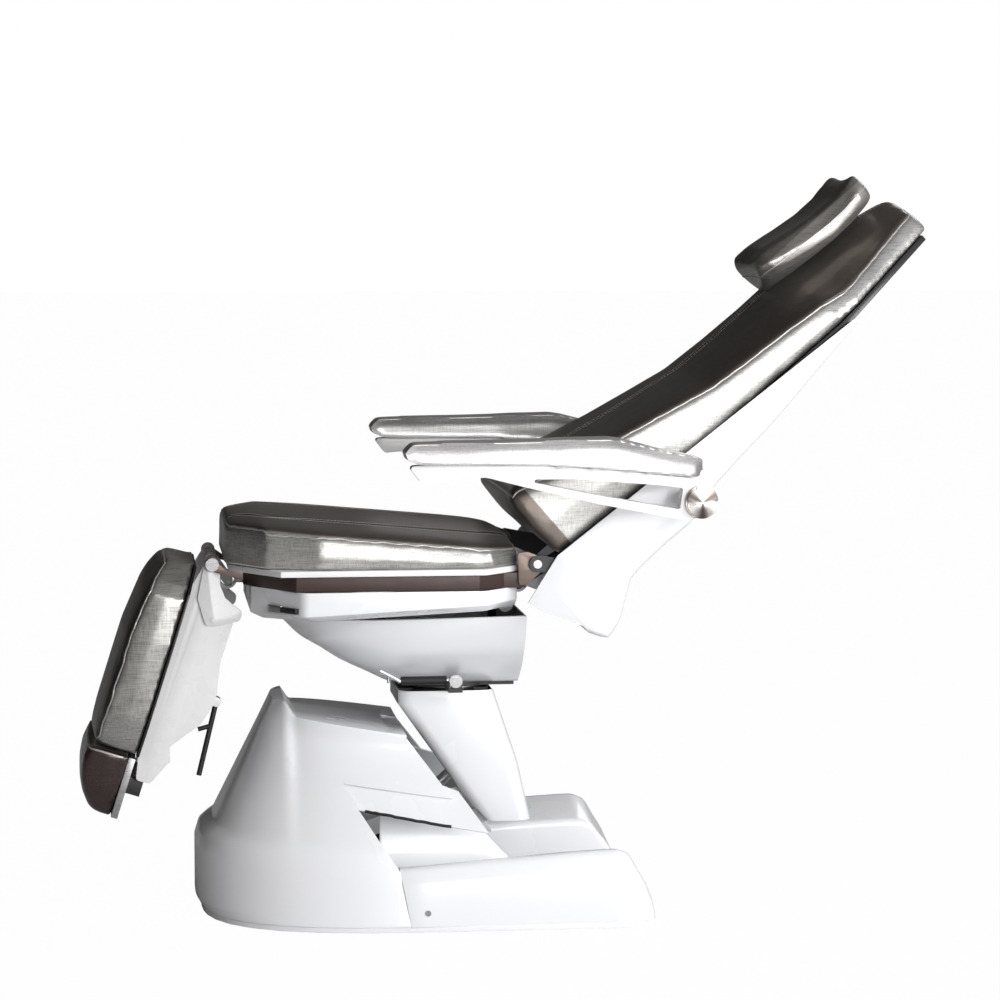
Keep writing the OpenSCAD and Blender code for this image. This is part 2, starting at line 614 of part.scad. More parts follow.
// Swivel head
ring_r = 62;
ring_bore_r = 40;
swivel_plate_r = 85;
ear_w = 24;
lever_y = 150;
lever_pin_d = 10;
lever_hub_r = 10;
lever_hub_t = 18;
upright_y = lift_arm_y + lift_arm_t + 2 * side_gap;
upright_t = 8;
upright_front = 24;
module swivel_bearing_ring() color("silver") translate([0, 0, column_top_z]) difference() {
    cylinder(r = ring_r, h = ring_h);
    translate([0, 0, -overrun]) cylinder(r = ring_bore_r, h = ring_h + 2 * overrun);
}
module swivel_plate() color("gray") difference() {
    union() {
        translate([0, 0, swivel_z]) cylinder(r = swivel_plate_r, h = swivel_plate_t);
        translate([0, 0, swivel_z - ring_h + side_gap]) cylinder(r = ring_bore_r - run_gap, h = ring_h);
        slab([-ear_w / 2, ear_w / 2], [-lever_y - ear_w / 2, 0], [swivel_z, head_z]);
        translate([0, -lever_y, swivel_z]) cylinder(d = lever_pin_d, h = swivel_plate_t + lever_hub_t + side_gap);
        slab([0, tilt_hinge[0] + boss_r], [-upright_y - upright_t, upright_y + upright_t], [swivel_z, head_z]);
        pair() across(upright_t, upright_y + upright_t / 2) {
            translate(tilt_hinge) circle(boss_r);
            translate([tilt_hinge[0] - upright_front, swivel_z])
                square([upright_front + boss_r, column_pin_x]);
            translate([tilt_hinge[0] - boss_r, swivel_z]) square([2 * boss_r, tilt_hinge[1] - swivel_z]);
        }
        pair() across(lug_t, rod_lug_y + lug_t / 2) {
            translate(tilt_foot_pin) circle(small_pin_d);
            translate([tilt_foot_pin[0] - small_pin_d, swivel_z])
                square([2 * small_pin_d, tilt_foot_pin[1] - swivel_z]);
        }
    }
    pin_at(tilt_hinge, lift_pin_d + 2 * run_gap, 2 * base_half_w);
    pin_at(tilt_foot_pin, small_pin_d + 2 * run_gap, 2 * base_half_w);
}
bowl_rear = 115;
bowl_front = 300;
bowl_levels_share = [0, 0.115, 0.33, 0.517, 0.687, 0.9, 1];
bowl_front_share = [0.387, 0.473, 0.643, 0.757, 0.867, 0.953, 1];
bowl_side_share = [0.405, 0.524, 0.714, 0.833, 0.905, 0.976, 1];
bowl_half_w = 210;
bowl_h = 118;
bowl_rise = 8;
bowl_wall = 3;
function bowl_ring(k, d, drop) =
    let (t = bowl_levels_share[k], z = head_z + seat_gap + t * bowl_h)
    [for (p = toe_curve(bowl_front * bowl_front_share[k] - d, bowl_half_w * bowl_side_share[k] - d, bowl_rear - d))
        [p[0], p[1], z + t * t * bowl_rise * (p[0] + bowl_front) / (bowl_front + bowl_rear) + drop]];
bowl_cap_share = len(bowl_levels_share) - 1;
module bowl_form(d, low, high) {
    loft([for (k = [0:bowl_cap_share]) bowl_ring(k, d, (k == 0 ? low : 0) + (k == bowl_cap_share ? high : 0))], true);
}
bowl_hole_x = [-86, -34];
module bowl_cover() color("white") difference() {
    bowl_form(0, 0, 0);
    bowl_form(bowl_wall, bowl_wall, overrun);
    z = [swivel_z, head_z + overrun];
    wide_slab(bowl_hole_x, rod_lug_y + lug_t + side_gap, z);
    pair() slab([tilt_hinge[0] - upright_front - side_gap, bowl_rear - bowl_wall],
        [upright_y - side_gap, upright_y + upright_t + side_gap], z);
}

// Swivel lever
lever_z = head_z + 12;
grip_start = 9;
grip_l = 83;
grip_d = 15;
lever_rod_d = 7;
lever_tip = [34, 18];
rod_lead = 4;
prong_d = 5;
prong_l = 12;
knob_post_d = 14;
lever_knob_d = 22;
lever_knob_t = 8;
module swivel_lever() color("dimgray") difference() {
    union() {
        translate([0, -lever_y, head_z + seat_gap]) cylinder(r = lever_hub_r, h = lever_hub_t - seat_gap);
        translate([-grip_start - grip_l - rod_lead, -lever_y, lever_z]) rotate([0, 90, 0])
            cylinder(d = lever_rod_d, h = grip_start + grip_l + rod_lead);
        translate([-grip_start - grip_l - rod_lead + lever_rod_d / 2, -lever_y, lever_z - side_gap / 2])
            rotate([0, -atan2(lever_tip[0], lever_tip[1]), 0]) cylinder(d = lever_rod_d + eps, h = norm(lever_tip));
        translate([-grip_start - grip_l - rod_lead - lever_tip[0] / 2, -lever_y, lever_z - prong_l / 4])
            cylinder(d = prong_d, h = prong_l);
        translate([0, -lever_y, lever_z]) rotate([90, 0, 0])
            cylinder(d = knob_post_d, h = lever_hub_r);
    }
    translate([0, -lever_y, swivel_z]) cylinder(d = lever_pin_d + 2 * run_gap, h = 4 * overrun);
}
module swivel_lever_grip() color("black") translate([-grip_start - grip_l + eps, -lever_y, lever_z])
    rotate([0, 90, 0]) difference() {
        cylinder(d = grip_d, h = grip_l - side_gap - grip_start / 2);
        translate([0, 0, -overrun]) cylinder(d = lever_rod_d + 2 * run_gap, h = grip_l + 2 * overrun);
    }
module swivel_lever_knob() color("silver") translate([0, -lever_y - lever_hub_r, lever_z]) rotate([90, 0, 0]) {
    cylinder(d = lever_knob_d, h = lever_knob_t - side_gap);
    cylinder(d = lever_knob_d - lever_knob_t, h = lever_knob_t);
}

// Tilt of the seat
tilt_tube_r = 16;
tilt_rod_r = 8;
tilt_tube_l = 120;
tilt_rod_start = 42;
tilt_eye_r = 7.2;
tilt_eye_out = 12;
module tilt_actuator_tube() color("black")
    actuator_tube(tilt_foot_pin, tilt_head_pin, tilt_tube_r, rod_eye_w, small_pin_d, tilt_rod_r, tilt_tube_l);
module tilt_actuator_rod() color("silver")
    actuator_rod(tilt_foot_pin, tilt_head_pin, tilt_rod_r, tilt_rod_start, tilt_eye_r, tilt_eye_out, rod_eye_w);
module tilt_pins() color("silver") {
    pair() {
        pin_at(tilt_hinge, lift_pin_d, upright_y + upright_t - lift_arm_y, (upright_y + upright_t + lift_arm_y) / 2);
        pin_at(tilt_hinge, lift_pin_d + 2 * pin_head_w, pin_head_t, upright_y + upright_t + pin_head_t / 2);
    }
    through_pin(tilt_foot_pin, small_pin_d, 2 * (rod_lug_y + lug_t));
}

// Seat: steel frame with its lugs
frame_in = 38;
frame_side_in = 14;
frame_w = 24;
frame_front_x = -(seat_front - frame_in);
rear_in = 15;
frame_hw = seat_half_w - frame_side_in;
frame_z = [seat_z - frame_h, seat_z];
member_t = 14;
member_z = [seat_z - member_t, seat_z];
front_member_x = [-215, -150];
back_member_x = [-135, -105];
wide_lug_y = 18;
rear_bar_w = 22;
rear_bar_y = 238;
rod_notch_y = 30;
frame_front_share = 0.86;
function frame_plan(d) =
    coffin(frame_front_x + d, seat_rear - rear_in - d, seat_front_half_w * frame_front_share - d / 2, frame_hw - d,
        seat_rear_half_w - 2 * d);
module lug(p, r, z) {
    translate(p) circle(r);
    translate([p[0] - r, p[1]]) square([2 * r, z - p[1]]);
}
spring_lug_y = spring_y - rod_lug_y;
eye_half_w = rod_lug_y;
module seat_frame() color("saddlebrown") {
    difference() {
        union() {
            translate([0, 0, frame_z[0]]) linear_extrude(frame_h) difference() {
                polygon(frame_plan(0));
                polygon(frame_plan(frame_w));
            }
            pair() slab([seat_rear - rear_in - rear_bar_w, seat_rear - rear_in + rear_bar_w], [rod_notch_y, rear_bar_y],
                frame_z - [0, side_gap]);
        }
        wide_slab([0, 2 * seat_rear], rod_notch_y, [0, seat_z + side_gap]);
    }
    wide_slab(front_member_x, frame_hw - frame_w / 2, member_z);
    wide_slab(back_member_x, frame_hw - frame_w / 2, member_z);
    difference() {
        pair() across(upright_t, lift_arm_y + upright_t / 2) {
            translate(tilt_hinge) circle(boss_r);
            translate([tilt_hinge[0] - 2 * boss_r, tilt_hinge[1]])
                square([3 * boss_r, frame_z[0] + frame_h / 2 - tilt_hinge[1]]);
        }
        pin_at(tilt_hinge, lift_pin_d + 2 * run_gap, 2 * base_half_w);
    }
    pair() across(lug_t, rod_lug_y + lug_t / 2) lug(tilt_head_pin, small_pin_d, member_z[0] + side_gap);
    pin_at(tilt_head_pin, small_pin_d, 2 * rod_lug_y + lug_t);
    pair() across(lug_t, wide_lug_y + lug_t / 2) lug(back_foot_pin, small_pin_d, member_z[0] + side_gap);
    pin_at(back_foot_pin, small_pin_d, 2 * wide_lug_y + lug_t);
    for (s = [-1, 1])
        across(lug_t, spring_y + s * (rod_lug_y + lug_t / 2)) lug(spring_foot_pin, small_pin_d, member_z[0] + side_gap);
    pin_at(spring_foot_pin, small_pin_d, 2 * rod_lug_y + lug_t, spring_y);
}

// Seat: moulded tray under the frame
tray_front = 345;
tray_low_hw = 255;
tray_rise = 23;
tray_skirt = 12;
tray_front_hw = 165;
tray_rear_hw = 215;
tray_hw = seat_half_w - pin_head_t;
tray_wall = 3;
tray_open_x = [-260, 112];
tray_open_y = 130;
tray_open_z = seat_z - 50;
spring_slot_w = 22;
function tray_low(x) = seat_z - frame_h - tray_h
    + tray_rise * (x + tray_front) / (tray_front + seat_rear);
function tray_ring(k, d, low, high) =
    let (hw = (k == 0 ? tray_low_hw : tray_hw) - d, r = (k == 0 ? tray_low_hw / tray_hw : 1),
        in = k == 0 ? overrun : 0,
        c = coffin(-tray_front + in + d, seat_rear - pin_head_t - d, tray_front_hw * r - d / 2, hw,
            tray_rear_hw * r - d / 2),
        q = rounded([for (i = [4, 5, 6, 7, 0, 1, 2, 3]) c[i]], overrun, 3))
    [for (p = q) [p[0], p[1], k == 2 ? frame_z[0] + high : tray_low(p[0]) + (k == 1 ? tray_skirt : low)]];
module tray_form(d, low, high) {
    loft([for (k = [0:2]) tray_ring(k, d, low, high)], true);
}
latch_share = 0.42;
facet_a = [-tray_front, -tray_front_hw];
facet_b = [-tray_front + facet_front, -tray_hw];
latch_at = facet_a + (facet_b - facet_a) * latch_share;
latch_turn = atan2(facet_b[1] - facet_a[1], facet_b[0] - facet_a[0]);
latch_z = seat_z - 57;
latch_pin_d = 8;
module at_latch() {
    translate([latch_at[0], latch_at[1], latch_z]) rotate([0, 0, latch_turn]) children();
}
module seat_tray() color("white") difference() {
    tray_form(0, 0, 0);
    tray_form(tray_wall, tray_wall, overrun);
    wide_slab(tray_open_x, tray_open_y, [0, tray_open_z]);
    slab([-2 * tray_front, tray_open_x[0] + overrun], [spring_y - spring_slot_w, spring_y + spring_slot_w],
        [spring_foot_pin[1] - spring_slot_w, seat_z]);
    wide_slab([0, 2 * seat_rear], lift_arm_y + upright_t + pin_head_t, [0, seat_z]);
    at_latch() rotate([90, 0, 0]) cylinder(d = latch_pin_d + 2 * run_gap, h = 2 * overrun, center = true);
}
latch_bar_h = 12;
latch_bar_t = 5;
latch_bar_l = 30;
latch_grip_l = 42;
latch_grip_h = 9;
latch_tang = 10;
module latch_lever() color("gray") at_latch() {
    rotate([90, 0, 0]) cylinder(d = latch_pin_d, h = side_gap + eps);
    translate([0, tray_wall + latch_bar_t, 0]) rotate([90, 0, 0])
        cylinder(d = latch_pin_d, h = tray_wall + latch_bar_t + side_gap);
    translate([0, tray_wall + latch_bar_t + side_gap, 0]) rotate([90, 0, 0])
        cylinder(d = latch_pin_d + pin_head_w, h = pin_head_t);
    slab([-latch_bar_h / 2, latch_bar_l], [-side_gap - latch_bar_t, -side_gap], [-latch_bar_h / 2, latch_bar_h / 2]);
    slab([latch_bar_l - side_gap, latch_bar_l + latch_tang], [-side_gap - latch_bar_t + side_gap, -2 * side_gap],
        [-latch_grip_h / 4, latch_grip_h / 4]);
}
module latch_grip() color("black") at_latch() difference() {
    slab([latch_bar_l, latch_bar_l + latch_grip_l], [-2 * side_gap - latch_bar_t - side_gap, 0 - side_gap / 2],
        [-latch_grip_h / 2, latch_grip_h / 2]);
    slab([latch_bar_l - overrun, latch_bar_l + latch_tang], [-side_gap - latch_bar_t + side_gap, -2 * side_gap],
        [-latch_grip_h / 4, latch_grip_h / 4]);
}

// Seat: board and cushion
board_in = 4;
board_front_in = 12;
module seat_board() color("whitesmoke") translate([0, 0, seat_z]) linear_extrude(board_t)
    polygon(coffin(-(seat_front - board_front_in), seat_rear - board_in, seat_front_half_w - board_in,
        seat_half_w - board_in, seat_rear_half_w - board_in));
seat_low = seat_z + board_t + seat_gap;
seat_mids = [0, 0.1, 0.3, 0.5, 0.7, 0.85, 0.93, 1];
seat_side_share = [[0, 0.55], [0.165, 1], [0.88, 1], [1, 0.776]];
seat_top_share = [[0, 0.97], [0.1, 1], [1, 0]];
cushion_r = 20;
seam_share = 0.58;
seam_dip = 2.5;
seat_crown = 11;
module seat_cushion() color("silver") {
    l = seat_front + seat_rear;
    loft([for (x = cushion_places(-seat_front, seat_rear, cushion_r, seat_mids))
        let (s = (x + seat_front) / l, d = end_draw(min(x + seat_front, seat_rear - x), cushion_r / 2),
            t = seat_rear_t + (seat_front_t - seat_rear_t) * lookup(s, seat_top_share))
        cushion_ring(0, [0, 0], x, seat_low, seat_z + board_t + t - d,
            seat_half_w * lookup(s, seat_side_share) - d, seat_crown, cushion_r, seam_share, seam_dip)]);
}

// Legrest hinge and back hinge
leg_ear_y = 131;
leg_ear_r = 12;
hinge_pin_d = 12;
leg_link_y = leg_ear_y - plate_t - side_gap;
leg_plate_y = leg_link_y - plate_t;
module leg_hinge_ears() color("saddlebrown") difference() {
    pair() across(plate_t, leg_ear_y + plate_t / 2) {
        translate(leg_hinge) circle(leg_ear_r);
        polygon([leg_hinge + [0, -leg_ear_r], [frame_front_x + frame_w, frame_z[0]],
            [frame_front_x + frame_w, frame_z[0] + frame_h - side_gap],
            [-(seat_front - board_front_in) - side_gap, frame_z[1] - side_gap], leg_hinge + [leg_ear_r - eps, 0],
            leg_hinge]);
    }
    pin_at(leg_hinge, hinge_pin_d + 2 * run_gap, 2 * base_half_w);
    wide_slab([frame_front_x - eps, 0], base_half_w, [frame_z[0] - overrun, frame_z[1] + overrun]);
}
module leg_hinge_pins() color("silver") pair() {
    pin_at(leg_hinge, hinge_pin_d, leg_ear_y + plate_t - leg_plate_y + side_gap, (leg_ear_y + plate_t + leg_plate_y + side_gap) / 2);
    pin_at(leg_hinge, hinge_pin_d + 2 * pin_head_w, pin_head_t, leg_ear_y + plate_t + pin_head_t / 2 + side_gap);
}
back_pin_d = 14;
back_boss_r = 14;
back_ear_share = [[0.9417, 0.9649], [1.0777, 0.9649], [1.3689, 1.01], [1.3495, 1.0401], [1.0874, 1.0569],
    [0.9126, 1.0535], [0.9417, 1.0033]];
back_ear_r = 5;
back_arm_y = rear_bar_y + plate_t + side_gap;
module back_hinge_brackets() color("saddlebrown") difference() {
    pair() across(plate_t, rear_bar_y + plate_t / 2) {
        translate(back_hinge) circle(back_boss_r);
        polygon(rounded(by_shares(back_ear_share, seat_rear, seat_z), back_ear_r, 4));
    }
    pin_at(back_hinge, back_pin_d + 2 * run_gap, 4 * base_half_w);
}
module back_hinge_pins() color("silver") pair() {
    pin_at(back_hinge, back_pin_d, 2 * plate_t + 2 * side_gap, back_arm_y);
}

// Back: steel frame
back_board_low = 46;
back_rail_y = 150;
back_rail_w = 40;
back_rail_t = 20;
back_rail_u = [60, 520];
back_cross_u = [60, 244, 480];
shaft_block_l = 40;
shaft_block_h = 100;
back_arm_share = [[-0.325, 0.0667], [-0.1, -0.2], [0.55, -1.1], [2.5, -1.1], [2.5, -0.7667], [1.4, -0.7667],
    [0.3, 0.1667]];
back_arm_u = 40;
back_arm_h = 60;
crank_bar_h = 5;
crank_at = crank_r * [cos(back_crank_angle - back_angle), sin(back_crank_angle - back_angle)];
module back_frame() color("dimgray") in_back() {
    h = [-back_board_low - back_rail_t, -back_board_low];
    difference() {
        union() {
            pair() slab(back_rail_u, [back_rail_y - back_rail_w / 2, back_rail_y + back_rail_w / 2], h);
            for (u = back_cross_u)
                wide_slab([u, u + back_rail_w], u == back_rail_u[0] ? back_arm_y + plate_t : back_rail_y, h);
            pair() slab([shaft_u - shaft_block_l / 2, shaft_u + shaft_block_l / 2],
                [back_rail_y - back_rail_w / 2, back_rail_y + back_rail_w / 2], [-shaft_block_h, h[1]]);
            pair() across(plate_t, back_arm_y + plate_t / 2) {
                circle(back_boss_r);
                polygon(by_shares(back_arm_share, back_arm_u, back_arm_h));
            }
        }
        pin_at([0, 0], back_pin_d + 2 * run_gap, 4 * base_half_w);
        pin_at([shaft_u, shaft_h], shaft_d + 2 * run_gap, 4 * base_half_w);
    }
    pair() across(lug_t, rod_lug_y + lug_t / 2) {
        bar_outline([back_rail_u[0] + small_pin_d, h[0] + crank_bar_h], crank_at, small_pin_d - pin_head_t / 2);
        translate(crank_at) circle(small_pin_d);
    }
    pin_at(crank_at, thin_pin_d, 2 * rod_lug_y + lug_t);
}

// Back: board, cushion and moulded shell
back_width_share = [[0, 0.96], [0.028, 1], [0.744, 1], [1, 0.44]];
back_board_in = 6;
back_board_u = [46, 872];
back_wide_u = 662;
module back_board() color("black") in_back() translate([0, 0, -back_board_low]) linear_extrude(board_t)
    polygon([[back_board_u[0], -back_half_w + back_board_in], [back_wide_u, -back_half_w + back_board_in],
        [back_board_u[1], -back_half_w * 0.46], [back_board_u[1], back_half_w * 0.46],
        [back_wide_u, back_half_w - back_board_in], [back_board_u[0], back_half_w - back_board_in]]);
back_low_share = [[0, -0.2778], [0.335, -1], [1, -1]];
back_low_lift = 0.7;
back_side_share = [[0.0335, 1.17], [0.0514, 1.27], [0.2726, 0.74], [0.3966, 0.49], [0.476, 0.33],
    [0.6089, 0.25], [0.7318, 0.15], [0.7866, 0.04], [1, 0.14]];
back_crown_share = [[0.0514, 0], [0.2279, 0.06], [0.3475, 0.12], [0.5307, 0.23], [0.6257, 0.3],
    [0.7821, 0.48], [0.8492, 0.44], [0.9162, 0.36], [1, 0.18]];
back_shape_h = 100;
back_start_u = 30;
back_mids = [0, 0.02, 0.08, 0.16, 0.25, 0.34, 0.44, 0.54, 0.64, 0.73, 0.78, 0.86, 0.93, 1];
module back_cushion() color("silver") {
    end_u = back_l + back_end_gap;
    loft([for (u = cushion_places(back_start_u, end_u, cushion_r, back_mids))
        let (s = u / end_u, d = end_draw(min(u - back_start_u, end_u - u), cushion_r / 2),
            w = lookup(s, back_width_share))
        cushion_ring(back_angle, back_hinge, u, back_low_h * lookup(s, back_low_share) + seat_gap,
            back_shape_h * lookup(s, back_side_share) - d, back_half_w * w - d,
            back_shape_h * lookup(s, back_crown_share), cushion_r, 0, 0)]);
}
shell_l = 690;
shell_h = 172;
shell_wall = 4;
shell_round = 16;
shell_places_share = [[-0.0159, 0], [0.0116, 0], [0.0536, 0], [0.113, 0], [0.1551, 0], [0.2058, 0], [0.2623, 0],
    [0.3362, 0], [0.4449, 0], [0.558, 0], [0.671, 0], [0.8261, 0], [0.9681, 0]];
shell_low_share = [[-0.0159, -0.843], [0.0116, -1], [0.0536, -0.9593], [0.113, -0.8081], [0.1551, -0.7093],
    [0.2058, -0.6919], [0.2623, -0.686], [0.3362, -0.6919], [0.4449, -0.5814],
    [0.671, -0.4826], [1, -0.2733]];
shell_top_share = [[-0.0797, -0.2151], [0.0493, -0.0581], [1, -0.2529]];
tail_share = [[-0.0145, -0.7442], [-0.0652, -0.3779], [-0.0797, -0.2151], [-0.0145, -0.1366]];
function shell_half_arc(hw, low, r) =
    [for (a = [180:30:270]) [-hw + r + r * cos(a), low + r + r * sin(a)]];
function shell_section(u) =
    let (low = shell_h * lookup(u / shell_l, shell_low_share), top = shell_h * lookup(u / shell_l, shell_top_share),
        r = min(shell_round, (top - low) * half_share), w = shell_wall, hw = shell_half_w,
        ri = max(side_gap / 2, min(r - w, (top - low - w) * half_share)),
        a = concat([[-hw, top]], shell_half_arc(hw, low, r)),
        b = concat([[-hw + w, top]], shell_half_arc(hw - w, min(low + w, top - 2 * side_gap), ri)))
    [for (p = concat(a, [for (i = [1:len(a)]) [-a[len(a) - i][0], a[len(a) - i][1]]],
        [for (q = b) [-q[0], q[1]]], [for (i = [1:len(b)]) b[len(b) - i]])) [u, p[0], p[1]]];
module back_shell() color("white") in_back() difference() {
    union() {
        loft([for (s = shell_places_share) shell_section(s[0] * shell_l)], true);
        pair() across(shell_wall, shell_half_w - shell_wall / 2)
            polygon([for (s = tail_share) [s[0] * shell_l, s[1] * shell_h]]);
    }
    pin_at([shaft_u, shaft_h], shaft_d + 2 * side_gap, 4 * base_half_w);
}
arm_side_gap = 1;
arm_in_y = arm_y - arm_w / 2;
collar_r = 20;
spigot_r = 6;
spigot_l = 8;
module armrest_shaft() color("silver") {
    pin_at(shaft_at, shaft_d, 2 * (arm_y + arm_w / 2) - seat_gap);
    pin_at(shaft_at, 2 * spigot_r, 2 * (arm_y + arm_w / 2 + spigot_l));
    pair() pin_at(shaft_at, 2 * collar_r, pin_head_t, arm_in_y - seat_gap - pin_head_t / 2);
}
back_tube_r = 15;
back_rod_r = 7;
back_tube_l = 140;
back_rod_start = 70;
back_eye_r = 13.3;
back_eye_out = 18;
wide_eye_w = 2 * (wide_lug_y - side_gap);
module back_actuator_tube() color("black")
    actuator_tube(back_foot_pin, back_head_pin, back_tube_r, wide_eye_w, small_pin_d, back_rod_r, back_tube_l);
module back_actuator_rod() color("silver")
    actuator_rod(back_foot_pin, back_head_pin, back_rod_r, back_rod_start, back_eye_r, back_eye_out, rod_eye_w);

// Armrests
arm_frame_share = [[-0.9795, 0.125], [-0.9385, 0.0717], [-0.7951, 0.084], [-0.7234, 0.0881],
    [-0.6045, 0.0574], [-0.3463, -0.0041], [-0.0492, -0.0615], [0.0389, -0.0389],
    [0.043, 0.041], [-0.0041, 0.0768], [-0.2623, 0.1055], [-0.5205, 0.124],
    [-0.9467, 0.1281]];
arm_slot_share = [[-0.5635, 0.0697], [-0.3463, 0.0246], [-0.0717, -0.0246], [-0.0615, 0.0471],
    [-0.1393, 0.0574], [-0.4324, 0.0799], [-0.5594, 0.0799]];
arm_boss_r = 27;
arm_corner_r = 6;
slot_r = 4;
pad_share = [[-0.9488, 0.1291], [-0.5205, 0.125], [-0.2623, 0.1066], [-0.0041, 0.0779],
    [0.0102, 0.1373], [-0.0041, 0.1516], [-0.0902, 0.166], [-0.2725, 0.2131],
    [-0.3156, 0.2193], [-0.6066, 0.2111], [-0.9734, 0.2029], [-1, 0.1762], [-0.998, 0.1455]];
pad_r = 9;
pad_edge = 13;
pad_rise = 2.5;
module armrest_frame(y) color("white") across(arm_w, y) translate(shaft_at) difference() {
    union() {
        polygon(rounded(by_shares(arm_frame_share, arm_l, arm_l), arm_corner_r, 4));
        circle(arm_boss_r);
    }
    circle(d = shaft_d + 2 * run_gap);
    polygon(rounded(by_shares(arm_slot_share, arm_l, arm_l), slot_r, 4));
}
module armrest_pad(y) color("lightgray") {
    p = by_shares(pad_share, arm_l, arm_l, shaft_at + [0, seat_gap]);
    h = pad_w / 2;
    loft([for (s = [1, -1]) for (a = s > 0 ? [0, 30, 60, 90] : [90, 60, 30, 0])
        [for (q = rounded(moved_in(p, pad_edge * (1 - sin(a)), [for (i = [0:len(p) - 1]) i < 4 ? 0.15 : 1]), pad_r, 3))
            [q[0], y + s * (h - pad_edge * (1 - cos(90 - a))), q[1]]]]);
}
module armrest_frame_left() {
    armrest_frame(-arm_y);
}
module armrest_frame_right() {
    armrest_frame(arm_y);
}
module armrest_pad_left() {
    armrest_pad(-arm_y);
}
module armrest_pad_right() {
    armrest_pad(arm_y);
}
knob_t = 12;
knob_lobe_r = 7;
knob_lobes = 6;
knob_gap = 0.4;
module armrest_knob() color("gray") {
    translate([shaft_at[0], -arm_y - arm_w / 2 - knob_gap, shaft_at[1]]) rotate([90, 0, 0]) difference() {
        union() {
            cylinder(d = knob_d - knob_lobe_r / 2, h = knob_t);
            cylinder(d = knob_d, h = knob_t - pin_head_t);
            cylinder(r = spigot_r + knob_lobe_r, h = knob_t + side_gap);
        }
        translate([0, 0, -overrun]) cylinder(r = spigot_r + run_gap, h = overrun + spigot_l);
        for (a = [0:knob_lobes - 1])
            rotate(a * 360 / knob_lobes) translate([knob_d / 2 + knob_lobe_r / 2, 0, knob_t / 2])
                cylinder(r = knob_lobe_r, h = knob_t);
    }
}
module armrest_knob_left() {
    armrest_knob();
}
module armrest_knob_right() {
    mirror([0, 1, 0]) armrest_knob();
}

// Headrest pillow, lying on the crown of the back cushion
pillow_u = 616;
pillow_low_share = [[0, 0.9545], [0.0417, 0.7727], [0.175, 0.4545], [0.4, 0.25], [0.6333, 0.1364],
    [0.8417, 0.2727], [1, 0.4091]];
pillow_top_share = [[0, 1.5], [0.0417, 1.6136], [0.1917, 1.5], [0.4125, 1.2955], [0.6333, 1.1364],
    [0.8167, 1.2045], [0.9875, 1.5909], [1, 1.5]];
pillow_base_h = 57.2;
pillow_dish = 8;
pillow_mids = [0, 0.06, 0.2, 0.4, 0.6, 0.8, 0.94, 1];
pillow_end_r = 12;
pillow_sides_share = [[0, 0.86], [0.12, 1], [0.88, 1], [1, 0.86]];
pillow_rows_share = [-0.86, -0.6, -0.3, 0, 0.3, 0.6, 0.86];
function pillow_ring(u) =
    let (s = (u - pillow_u) / pillow_l, d = end_draw(min(u - pillow_u, pillow_u + pillow_l - u), pillow_end_r),
        hw = pillow_half_w * lookup(s, pillow_sides_share) - d,
        low = pillow_t * lookup(s, pillow_low_share), high = pillow_t * lookup(s, pillow_top_share) - d,
        base = pillow_base_h + seat_gap, e = (high - low) / 2,
        under = [for (t = pillow_rows_share) [t * hw, base + d / 2 + (low - d / 2) * t * t]],
        over = [for (t = pillow_rows_share) [-t * hw, base + high - pillow_dish * (1 - t * t)]],
        r = concat(under, [[hw - e / 5, base + low + e / 3], [hw, base + low + e]], over,
            [[-hw, base + low + e], [-hw + e / 5, base + low + e / 3]]))
    [for (p = r) [back_hinge[0] + u * cos(back_angle) - p[1] * sin(back_angle), p[0],
        back_hinge[1] + u * sin(back_angle) + p[1] * cos(back_angle)]];
module headrest_pillow() color("rosybrown")
    loft([for (u = cushion_places(pillow_u, pillow_u + pillow_l, pillow_end_r, pillow_mids)) pillow_ring(u)]);

// Legrest; in its frame X runs up the leg and Z away from the seat
carrier_share = [[-0.142, 0.2895], [-0.0118, 0.1447], [0.0059, -0.1447], [-0.1183, -0.2895],
    [-0.2544, -0.8421], [-0.4556, -0.8289], [-0.6538, -0.9868], [-0.784, -0.8289],
    [-0.9379, -0.3158], [-1.0059, -0.4211], [-1.145, -0.1316], [-1.145, 0.1842],
    [-1.0207, 0.2895]];
carrier_r = 6;
guide_at = [[-345, -330], [-295, -280]];
guide_z = [-4, 20];
slide_rod_y = 80;
slide_rod_d = 14;
slide_rod_h = 8;
slide_rod_x = [-385, -172];
tie_at = [-226, -58];
tie_r = 9;
handle_at = [-226, -79];
handle_y = 80;
handle_lug_y = 6;
spring_crank_at = crank_r * [cos(spring_crank_angle - 90 + leg_tilt), sin(spring_crank_angle - 90 + leg_tilt)];
